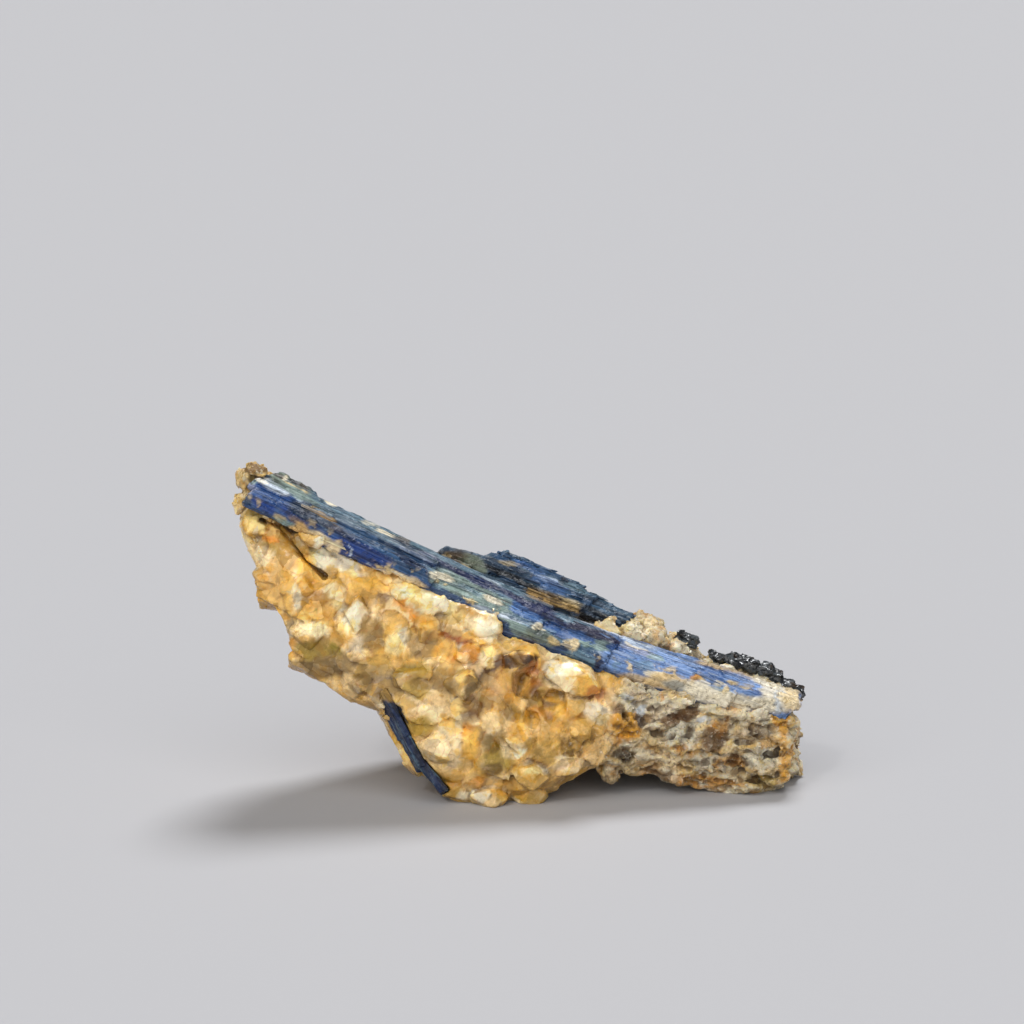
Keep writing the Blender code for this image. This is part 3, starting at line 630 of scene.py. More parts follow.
# Markings: x and z on the sheet, half length, half width, lean in degrees, colour and strength.
QUARTZ_MARKINGS = (
    # the left end, up to the tip
    (-40.7, 34.6, 2.5, 3.8, 0, "tan", 0.9),
    (-42.6, 44.1, 1.6, 1.6, 0, "pale", 0.9),
    (-41.6, 38.8, 1.6, 1.1, 0, "cream", 0.8),
    (-40.3, 41.2, 1.3, 0.9, 0, "amber", 0.9),
    (-43.7, 46.7, 0.9, 2.2, -50, "crust", 0.9),
    (-44.4, 49.9, 0.8, 2.5, 70, "crust", 0.9),
    (-42.3, 52.6, 2.2, 0.6, 0, "umber", 0.8),
    # the upper left, beside the crack
    (-34.8, 37.1, 2.1, 1.3, -20, "honey", 0.8),
    (-31.8, 39.4, 2.3, 2.5, -20, "white", 0.9),
    (-29.4, 37.8, 2.6, 0.8, -18, "chalk", 0.8),
    (-27.8, 38.0, 2.1, 1.3, -25, "grey", 0.8),
    (-35.2, 43.1, 1.3, 0.9, 0, "crumb", 0.8),
    (-27.2, 36.0, 2.1, 0.3, -8, "white", 0.7),
    (-28.8, 34.7, 5.7, 0.9, -8, "honey", 0.7),
    (-36.4, 32.1, 0.8, 2.1, 0, "white", 0.7),
    (-33.4, 31.3, 2.1, 2.4, 0, "bronze", 0.9),
    (-33.1, 29.8, 1.1, 0.6, 0, "olive", 0.9),
    (-30.7, 33.1, 1.4, 1.3, -40, "cream", 0.8),
    (-29.6, 30.6, 0.6, 0.6, 0, "white", 0.9),
    (-25.3, 32.3, 2.1, 1.4, -10, "bronze", 0.6),
    (-27.3, 28.2, 1.3, 2.8, 0, "white", 0.85),
    (-24.9, 27.4, 1.3, 1.6, 0, "smoky", 0.8),
    (-26.4, 24.1, 1.7, 1.6, 0, "grey", 0.6),
    (-33.7, 26.9, 2.7, 1.4, 0, "cream", 0.9),
    (-36.5, 27.7, 1.1, 2.2, -60, "pale", 0.6),
    (-32.9, 23.6, 4.3, 1.6, -5, "moss", 0.85),
    (-30.2, 23.5, 1.1, 0.6, 0, "olive", 0.7),
    # Painted shade on the underside below.
    (-32.5, 20.7, 4.7, 1.4, -12, "dark smoky", 0.8),
    # the pale band under the blades, with painted highlights as white spots
    (-22.9, 32.0, 0.8, 0.9, 0, "umber", 0.8),
    (-20.9, 34.2, 4.7, 0.9, -18, "honey", 0.6),
    (-16.6, 31.8, 5.4, 2.2, -25, "cream", 0.9),
    # Painted highlights, on this line and the next.
    (-19.0, 32.8, 1.7, 1.1, -20, "white", 0.95),
    (-12.8, 31.0, 1.7, 1.4, -25, "white", 0.95),
    (-9.0, 28.0, 3.2, 1.4, -25, "cream", 0.8),
    # A painted highlight.
    (-6.1, 26.6, 2.2, 1.6, -20, "white", 0.85),
    (-18.7, 29.8, 2.7, 0.6, -35, "amber", 0.8),
    (-16.0, 27.9, 1.9, 1.3, -20, "honey", 0.6),
    (-20.9, 27.4, 1.9, 1.3, 0, "honey", 0.5),
    # the middle, from smoky to amber
    (-20.3, 24.6, 1.3, 2.4, -20, "white", 0.75),
    (-15.8, 23.8, 2.7, 1.4, 0, "smoky", 0.8),
    (-11.2, 25.1, 2.4, 0.6, -10, "rust", 0.9),
    (-11.4, 22.6, 1.7, 1.4, 0, "amber", 0.8),
    (-8.4, 22.1, 0.9, 1.3, 0, "umber", 0.6),
    (-6.1, 22.6, 1.4, 1.4, 0, "cream", 0.8),
    (-18.3, 19.9, 3.5, 1.4, 0, "moss", 0.9),
    (-24.5, 19.7, 2.5, 2.1, 0, "smoky", 0.7),
    (-22.6, 17.4, 3.2, 1.6, 0, "dusk", 0.8),
    (-12.4, 18.5, 2.4, 2.4, 0, "smoky", 0.7),
    (-10.3, 18.7, 1.4, 1.3, 0, "pale", 0.8),
    (-17.3, 16.9, 2.5, 1.4, 0, "moss", 0.7),
    # beside the flank blade
    (-15.1, 13.4, 2.5, 1.4, 0, "cream", 0.7),
    (-19.4, 13.4, 1.3, 1.9, 0, "honey", 0.5),
    (-17.0, 10.9, 2.2, 1.3, 0, "moss", 0.8),
    (-12.7, 7.1, 3.2, 3.8, 0, "blush", 0.95),
    (-12.3, 3.0, 2.8, 1.1, -10, "tan", 0.6),
    (-8.6, 8.1, 1.3, 3.2, 0, "honey", 0.85),
    (-9.5, 10.3, 0.8, 0.9, 0, "amber", 0.8),
    # the edge of the hollow: brown stains, and painted shade along its upper rim
    (-8.7, 14.1, 1.4, 2.2, 30, "umber", 0.8),
    (-5.8, 19.4, 2.2, 1.9, 35, "umber", 0.6),
    (-1.8, 22.0, 2.8, 1.1, 0, "umber", 0.9),
    (0.3, 22.0, 0.8, 0.8, 0, "black brown", 0.9),
    (-2.9, 16.2, 4.3, 2.5, 0, "tan", 0.7),
    (-1.5, 18.7, 1.4, 0.9, 0, "pale", 0.4),
    (1.5, 17.4, 0.8, 1.6, -20, "rust", 0.7),
    (3.1, 15.1, 2.1, 0.6, -20, "umber", 0.7),
    (-4.5, 11.8, 2.7, 1.6, 0, "pale", 0.5),
    # the big pale lump and the sugary quartz below it
    (5.7, 19.5, 3.2, 2.7, -30, "cream", 0.95),
    (4.7, 20.3, 1.9, 1.7, -30, "white", 0.9),
    (9.0, 17.7, 1.6, 1.6, -20, "honey", 0.8),
    (11.3, 16.2, 1.3, 1.1, 0, "rust", 0.8),
    # A small hollow painted black-brown: painted shade.
    (11.8, 14.7, 0.6, 0.6, 0, "black brown", 0.95),
    (6.2, 12.9, 4.7, 1.4, -20, "honey", 0.6),
    (6.2, 10.0, 6.0, 2.7, 0, "sugar", 0.8),
    (4.9, 7.5, 2.2, 0.8, 0, "honey", 0.6),
    (6.4, 8.1, 1.1, 0.8, 0, "umber", 0.5),
    # the foot
    (-4.5, 6.3, 2.2, 3.5, 10, "moss", 0.9),
    (-5.8, 8.1, 1.3, 1.9, 20, "dark smoky", 0.6),
    (-1.8, 7.5, 1.6, 1.9, 0, "cream", 0.7),
    (-0.7, 6.6, 1.1, 0.9, 0, "white", 0.9),
    (1.6, 3.5, 1.9, 1.1, 10, "white", 0.8),
    (7.2, 4.6, 3.8, 1.1, 12, "blush", 0.7),
    (0.6, 0.5, 5.4, 1.4, 8, "tan", 0.6),
    (-7.9, 1.5, 1.1, 0.6, 0, "amber", 0.8),
    (-9.7, 1.0, 2.5, 0.9, 0, "smoky", 0.5),
    (-8.7, -0.7, 2.7, 0.8, 0, "chalk", 0.9),
    (-5.8, -1.0, 0.5, 0.8, 0, "black brown", 0.9),
    # the tooth and the layered end
    (13.1, 2.0, 1.9, 1.1, 0, "pale", 0.8),
    (11.8, 6.3, 2.2, 2.1, 0, "tan", 0.6),
    # A hollow painted black-brown: painted shade.
    (16.0, 6.3, 2.2, 1.4, 0, "black brown", 0.85),
    (20.6, 14.6, 6.4, 2.2, -12, "chalk", 0.7),
    (20.0, 8.4, 3.4, 1.6, -10, "crust", 0.6),
    (40.2, 8.2, 2.6, 1.1, 0, "yellow ochre", 0.55),
    (11.5, 13.1, 2.8, 1.6, -15, "mica", 0.7),
    (16.2, 15.4, 1.4, 0.5, -30, "ice", 0.8),
    (18.3, 12.6, 0.6, 1.9, -15, "ice", 0.8),
    (16.3, 11.3, 1.9, 2.1, 0, "yellow ochre", 0.9),
    (15.3, 13.9, 0.6, 0.8, 0, "umber", 0.8),
    (16.0, 11.8, 0.5, 0.5, 0, "black brown", 0.8),
    (19.7, 17.7, 2.8, 1.3, -10, "chalk", 0.8),
    (21.8, 16.2, 0.8, 0.6, 0, "amber", 0.7),
    (27.8, 16.1, 1.3, 1.3, 0, "chalk", 0.8),
    (24.6, 12.8, 3.0, 0.9, 22, "umber", 0.9),
    # Black-brown in the long hollow: painted shade.
    (27.0, 14.4, 1.3, 0.5, 15, "black brown", 0.7),
    (24.5, 9.8, 2.8, 1.7, 0, "mica", 0.9),
    (26.2, 10.5, 0.3, 1.1, 20, "black brown", 0.6),
    (28.8, 11.8, 1.4, 0.6, 0, "ice", 0.7),
    (35.0, 14.4, 4.4, 0.9, -8, "chalk", 0.8),
    (32.7, 14.1, 1.3, 0.6, 0, "amber", 0.5),
    (38.4, 12.6, 1.7, 1.4, 0, "mica", 0.8),
    (30.1, 9.0, 2.1, 1.9, 20, "umber", 0.85),
    # Umber under the ledges: painted shadow.
    (36.2, 9.6, 3.8, 1.4, 10, "umber", 0.55),
    (41.1, 11.4, 1.1, 2.1, 0, "yellow ochre", 0.85),
    (43.3, 14.6, 1.3, 1.1, 0, "crust", 0.8),
    (42.3, 14.1, 0.4, 0.5, 0, "black brown", 0.8),
    (22.7, 4.8, 5.5, 1.3, -10, "blush", 0.7),
    (19.7, 6.0, 1.6, 0.6, -10, "chalk", 0.7),
    (29.0, 5.8, 2.2, 0.8, 0, "mica", 0.7),
    (33.5, 5.5, 1.1, 0.5, 0, "black brown", 0.6),
    (35.4, 5.8, 0.5, 0.5, 0, "black brown", 0.8),
    (37.8, 5.8, 2.5, 1.7, 0, "mica", 0.7),
    (41.8, 5.3, 1.4, 2.1, 0, "yellow ochre", 0.8),
    (30.0, 1.5, 5.4, 1.1, -5, "ochre", 0.9),
    (20.8, 3.0, 3.5, 0.6, -12, "umber", 0.8),
    (39.0, 2.1, 3.5, 0.9, 0, "moss", 0.7),
    # the crust behind the blades
    (15.0, 28.0, 6.4, 2.6, -28, "pale", 0.92),
    (18.0, 26.2, 2.8, 1.0, -26, "chalk", 0.8),
    (12.4, 29.8, 2.2, 0.8, -24, "crumb", 0.8),
    (14.9, 29.3, 2.2, 0.8, -20, "umber", 0.35),
    (11.7, 30.5, 1.9, 0.8, -25, "crumb", 0.6),
    (27.7, 22.5, 1.9, 0.9, -25, "dusk", 0.5),
    (39.7, 18.4, 4.1, 1.4, -20, "chalk", 0.8),
    # the groove that the flank blade comes out of
    (-24.2, 12.0, 0.9, 2.6, 38, "pale", 0.85),
    (-21.0, 14.3, 1.9, 0.8, -28, "night", 0.9),
    (-19.5, 12.8, 2.0, 0.7, -68, "night", 0.92),
    # stains above the middle
    (-12.8, 23.4, 1.7, 1.3, 0, "honey", 0.8),
    (-8.6, 23.2, 1.2, 1.6, 0, "amber", 0.75),
    (-10.8, 24.8, 3.4, 0.7, -12, "rust", 0.8),
    # the hollow in the middle: brown stains, with painted shade along its rim and in the recess
    (-8.2, 17.6, 2.2, 1.3, 48, "dark smoky", 0.9),
    (-0.6, 21.6, 2.6, 1.0, 0, "umber", 0.9),
    (-6.8, 18.9, 2.4, 0.4, 50, "black brown", 0.75),
    (-3.8, 21.6, 1.5, 0.45, 28, "black brown", 0.75),
    (0.3, 22.0, 1.2, 0.45, -10, "black brown", 0.75),
    (-9.6, 14.6, 1.8, 0.35, 62, "umber", 0.7),
    (-9.3, 12.4, 1.3, 1.5, 80, "umber", 0.7),
    (-5.0, 20.6, 2.2, 0.9, 40, "umber", 0.8),
    (-3.4, 18.6, 1.6, 1.1, 0, "bronze", 0.6),
    (-6.6, 15.2, 1.7, 1.5, 20, "dark smoky", 0.55),
    (-3.0, 17.0, 3.6, 2.6, 0, "bronze", 0.45),
    # Painted shade on the underside at the left, on this line and the next.
    (-33.6, 20.2, 5.0, 1.0, -14, "dark smoky", 0.7),
    (-25.6, 16.9, 3.4, 0.9, -24, "dark smoky", 0.6),
    (-14.6, 17.8, 4.6, 1.0, -5, "smoky", 0.6),
    (-2.6, 13.4, 1.9, 1.2, -10, "smoky", 0.6),
    (0.9, 20.0, 1.0, 1.4, -10, "rust", 0.8),
    (1.2, 15.8, 1.2, 1.9, -20, "dark smoky", 0.6),
    (2.6, 12.9, 1.9, 0.8, -25, "rust", 0.5),
    # the broad honey and smoky faces of the middle
    (-24.6, 25.6, 1.6, 2.6, 8, "smoky", 0.85),
    (-16.6, 24.6, 2.6, 1.5, -6, "smoky", 0.85),
    (-17.2, 22.3, 2.2, 0.6, 0, "dark smoky", 0.45),
    # Painted shade on the underside at the left, on this line and the next.
    (-28.8, 21.4, 1.9, 1.7, -20, "smoky", 0.8),
    (-25.7, 18.6, 2.0, 1.0, -20, "dark smoky", 0.55),
    (-13.8, 20.5, 1.4, 1.0, -30, "smoky", 0.7),
    (-35.4, 34.8, 3.4, 0.9, -12, "honey", 0.7),
    (-38.6, 29.4, 0.7, 1.6, -15, "bronze", 0.8),
    (-38.0, 24.4, 1.3, 0.9, 0, "amber", 0.6),
    (-5.2, 3.4, 1.5, 1.4, 0, "dark smoky", 0.75),
    (-4.0, 9.2, 1.6, 1.4, 0, "smoky", 0.8),
)
# Kinds for the rest of the mass, with their shares.
SCATTERED_KINDS = (
    ("tan", 0.22), ("honey", 0.14), ("cream", 0.18), ("moss", 0.12), ("smoky", 0.12), ("pale", 0.12),
    ("blush", 0.10),
)
ROUGH_END_FROM = 14.0       # x where the layered right end starts
ROUGH_TIP_FROM = 46.2       # height where the crust of the left tip starts
SMALLEST_LUMP = 1.2         # half width of a marking that is a lump too, not a stain alone
LUMP_SIZES = (2.4, 4.6)
LUMP_TRIES = slice(0, 30000, 8)     # the corners, in random order, that may start a lump
LUMPS_APART = 0.75          # how close two lumps' middles may be, as a share of their sizes
FRONT = (0.0, -0.96, 0.28)  # the way that the marked front faces
LOOSE_GRAINS = 2200
LEFT_RIM = -41.5


# The lower edge of the front blades on the sheet, as x and z.
BLADE_FOOT = (
    (-44.5, 47.3), (-36.0, 43.9), (-30.0, 41.0), (-26.0, 37.5), (-22.0, 36.1), (-15.0, 34.5), (-2.6, 26.7),
    (11.7, 21.0), (19.0, 19.3), (22.0, 19.4), (28.0, 18.0), (31.0, 16.4), (36.0, 16.0), (40.0, 15.6),
    (45.0, 13.0),
)


def blade_foot(x):
    """Height on the sheet of the front blades' lower edge."""
    return np.interp(x, *zip(*BLADE_FOOT))


def quartz_lumps(skin):
    """The middle and size of every lump: the marked ones on the front, the others at random."""
    rng = np.random.default_rng(7)
    middles, sizes = [], []
    for x, z, long, wide, *_ in QUARTZ_MARKINGS:
        place = on_surface(skin.tree, x, z)
        if place is None or min(long, wide) < SMALLEST_LUMP:
            continue
        middles.append(list(place))
        sizes.append(0.5 * (long + wide) + 0.3)
    for index in rng.permutation(len(skin.points))[LUMP_TRIES]:
        point = skin.points[index]
        size = rng.uniform(*LUMP_SIZES)
        gaps = np.linalg.norm(np.array(middles) - point, axis=1)
        if (gaps < LUMPS_APART * (np.array(sizes) + size)).any():
            continue
        middles.append(list(point))
        sizes.append(size)
    return np.array(middles), np.array(sizes)


def nearest_lump(points, middles, sizes):
    """Each point's lump, and how far the point is inside its border."""
    best = np.full(len(points), FAR)
    second = np.full(len(points), FAR)
    owner = np.zeros(len(points), int)
    for index, (middle, size) in enumerate(zip(middles, sizes)):
        distance = np.linalg.norm(points - middle, axis=1) / size
        nearer = distance < best
        second = np.where(nearer, best, np.minimum(second, distance))
        best = np.where(nearer, distance, best)
        owner[nearer] = index
    return owner, second - best


def rot_the_end(skin, seams, rough_end):
    """Breaks the right end into thin ledges lying nearly flat, with rotted layers between them. Gives
    back coordinates that follow its beds, and where it is eaten away."""
    bed = seams.copy()
    bed[:, 2] += 0.16 * (seams[:, 0] - 28) + 0.5 * rough_noise(seams, 6, 31, 2)
    ledge = rough_noise(bed, (4.6, 4.6, 0.95), 33, 3)
    steps = np.round((ledge + 0.15 * rough_noise(seams, 1.2, 34, 2)) * 3) / 3
    eaten = ease(0.25, 0.75, rough_noise(bed, (2.6, 2.6, 1.2), 35, 3))
    height = 0.50 * steps - 0.95 * eaten + 0.22 * rough_noise(seams, 0.8, 36, 3)
    skin.push(skin.relaxed(height * rough_end, 1))
    return bed, eaten


def make_quartz(material):
    skin = Skin("quartz", "quartz_matrix", voxel=0.30, swell=0.12)
    seams = skin.points.copy()
    middles, sizes = quartz_lumps(skin)
    wander = np.stack([rough_noise(seams, 3.4, 40 + axis, 2) for axis in range(3)], axis=1)
    owner, inside = nearest_lump(seams + 0.45 * wander, middles, sizes)
    lumps = np.stack([owner, owner * 7, owner * 13], axis=1)
    away = seams - middles[owner]
    leaning = seams[:, 0] + 0.25 * (15 - seams[:, 2])
    rough_end = ease(ROUGH_END_FROM - 3, ROUGH_END_FROM + 3, leaning)
    rough_tip = ease(ROUGH_TIP_FROM, ROUGH_TIP_FROM + 2, seams[:, 2])
    sugary = 0.7 * blob(seams, (9.0, -14.0, 10.0), (7.0, 9.0, 5.5), 63, 0.3, 3.0)
    crumbly = np.maximum(np.maximum(rough_end, rough_tip), sugary)

    # Lumps broken flat, with a narrow crevice between one and the next.
    faces = broken_faces(away, lumps, seed=5, slope=0.12, lift=0.13, planes=2)
    crevice = np.exp(-(inside / 0.05) ** 2) * ease(-0.2, 0.5, rough_noise(seams, 5.0, 61, 2))
    height = faces * (1 - 0.7 * rough_end) - 0.10 * crevice * (1 - 0.5 * rough_end)
    skin.push(skin.relaxed(np.clip(height, -0.5, 0.5), 1))

    # Chips on every face, and crumbs on the crumbly ones.
    chip, chip_away, _ = crystal_cells(seams + 0.3 * wander, size=2.7, seed=11)
    chips = broken_faces(chip_away, chip, seed=15, slope=0.12, lift=0.03, planes=1)
    skin.push(skin.relaxed(chips * (0.5 + 1.2 * crumbly), 1))
    crumb, crumb_away, _ = crystal_cells(seams + 0.2 * wander, size=1.1, seed=211)
    crumbs = broken_faces(crumb_away, crumb, seed=215, slope=0.30, lift=0.14, planes=1)
    skin.push(skin.relaxed(crumbs * crumbly, 1))
    skin.push(0.01 * rough_noise(seams, 0.9, 23, 3) * (1 + 9.0 * crumbly))
    bed, eaten = rot_the_end(skin, seams, rough_end)

    # The swollen shoulder of the left end.
    shoulder = np.linalg.norm((on_sheet(seams) - (-42.4, 34.3)) / (1.9, 2.0), axis=1)
    skin.push(0.9 * (1 - ease(0.3, 1.2, shoulder)))
    skin.points[:, 2] = np.maximum(skin.points[:, 2], 0.0)

    # How deep in a hollow each corner lies: the material paints the hollows dark brown, iron stain and
    # painted shade.
    pit = 0.6 * skin.hollowness(rounds=14, depth=0.5) + 0.5 * skin.hollowness(rounds=4, depth=0.16)
    at = SimpleNamespace(seams=seams, lumps=lumps, inside=inside, chip=chip, chip_away=chip_away, bed=bed,
                         eaten=eaten, rough_end=rough_end, crumbly=crumbly, pit=np.clip(pit, 0, 1))
    kept = skin.thin_out()
    for name, values in vars(at).items():
        setattr(at, name, values[kept])
    facing = skin.normals()
    front = ease(-0.15, 0.3, skin.relaxed(facing, 3) @ np.array(FRONT))
    # Faces that point down are painted darker umber: painted shade under the mass.
    skin.colors = blend_in(quartz_colors(at, front), "umber", 0.4 * ease(0.2, 0.8, -facing[:, 2]))
    gloss = 0.35 + 0.65 * random_at(at.lumps, 71)
    gloss = gloss * (1 - 0.75 * at.rough_end) * (0.4 + 0.6 * random_at(at.chip, 77))

    points, triangles, owner, colors = loose_grains(skin, at.rough_end)
    skin.add_shards(points, triangles)
    skin.colors = np.concatenate([skin.colors, colors])
    pit = np.concatenate([at.pit, np.zeros(len(points))])
    gloss = np.concatenate([gloss, random_at(np.stack([owner, owner, owner], axis=1), 3) * 0.7])
    crumbly = np.concatenate([at.crumbly, np.full(len(points), 0.4)])
    skin.write(material, "stained_quartz", crease=24, pit=pit, gloss=gloss, crumbly=crumbly)


def quartz_colors(at, front):
    """Each lump has its own colour, and each chip takes one colour from where it sits. Iron gathers in
    crevices, and the right end is chalky and ochre by layers."""
    seams = at.seams
    names = [name for name, _ in SCATTERED_KINDS]
    bounds = np.cumsum([share for _, share in SCATTERED_KINDS])
    pick = np.searchsorted(bounds / bounds[-1], random_at(at.lumps, 91) * 0.999)
    colors = np.array([linear(COLORS[name])[:3] for name in names])[pick]
    colors = blend_in(colors, "tan", np.full(len(seams), 0.55))
    colors = blend_in(colors, "honey", 0.6 * ease(0.0, 0.7, rough_noise(seams, 4.0, 53, 4)))
    colors = blend_in(colors, "white", 0.5 * ease(0.2, 0.8, rough_noise(seams, 2.6, 54, 4)))
    colors = blend_in(colors, "moss", 0.5 * ease(0.2, 0.8, rough_noise(seams, 3.4, 56, 4)))

    # The layered end.
    layer = rough_noise(at.bed, (3.2, 3.2, 0.8), 57, 4)
    end = all_one("crust", len(seams))
    end = blend_in(end, "chalk", ease(-0.2, 0.4, layer))
    end = blend_in(end, "mica", ease(0.1, 0.6, -layer) * 0.8)
    end = blend_in(end, "ochre", ease(0.1, 0.6, rough_noise(seams, 2.8, 58, 4)) * 0.8)
    colors = blend_in(colors, end, at.rough_end)

    # Markings keep to the chips' borders, as each chip shows one colour.
    snapped = seams - 0.35 * at.chip_away
    warp = np.stack([rough_noise(seams, 1.8, 81 + axis, 4) for axis in range(2)], axis=1) * 0.40
    marked = lay_patches(colors.copy(), snapped, QUARTZ_MARKINGS, 0.14, warp)
    colors = 1.05 * blend_in(colors, marked, front)
    # The eaten-away layers between the ledges are painted umber: rot stain, and painted shade under the
    # ledges.
    colors = blend_in(colors, "umber", 0.45 * at.eaten * at.rough_end)
    colors = colors * (1 + 0.08 * rough_noise(seams, 2.2, 51, 4))[:, None]
    colors = colors * (0.94 + 0.14 * random_at(at.chip, 52))[:, None]
    crack = np.exp(-(at.inside / 0.06) ** 2)
    return blend_in(colors, "rust", 0.40 * crack * ease(-0.6, 0.3, rough_noise(seams, 4, 55, 2)))


def loose_grains(skin, rough_end):
    """Grains stuck to the mass: on the layered end, around the blades' foot and thinly all over."""
    rng = np.random.default_rng(31)
    shapes = hull_shapes(rng, count=24, corners=10, boxy=False)
    facing = skin.normals()
    seen = on_sheet(skin.points)
    foot = np.exp(-((seen[:, 1] - blade_foot(seen[:, 0])) / 0.9) ** 2) * (facing[:, 1] < 0.2)
    crust_top = (skin.points[:, 0] > 10) & (facing[:, 2] > 0.3) & (skin.points[:, 2] > 15)
    rim = skin.points[:, 0] < LEFT_RIM
    weight = 0.03 + 1.6 * rough_end + 5.0 * foot + 2.0 * crust_top + 4.0 * rim
    weight *= 0.4 + ease(-0.4, 0.5, rough_noise(skin.points, 3.0, 131, 2))
    count = LOOSE_GRAINS
    picks = rng.choice(len(skin.points), count, False, weight / weight.sum())
    size = rng.uniform(0.16, 0.42, count) * (1 + 0.6 * (rng.random(count) < 0.12))
    sizes = size[:, None] * rng.uniform(0.6, 1.2, (count, 3))
    sizes[:, 2] *= 1 - 0.4 * rough_end[picks]
    turns = random_turns(rng, count)
    flat = rough_end[picks] > 0.5
    turns[flat] = np.eye(3) + 0.25 * rng.normal(size=(flat.sum(), 3, 3))
    middles = skin.points[picks] - 0.15 * size[:, None] * facing[picks]
    middles[:, 2] = np.maximum(middles[:, 2], size + 0.1)
    points, triangles, owner = scatter(rng, shapes, middles, turns, sizes)
    tints = skin.colors[picks] * rng.uniform(0.8, 1.25, count)[:, None]
    tints = blend_in(tints, "chalk", 0.5 * (rng.random(count) < 0.3))
    return points, triangles, owner, tints[owner]


# ---------------------------------------------------------------- kyanite

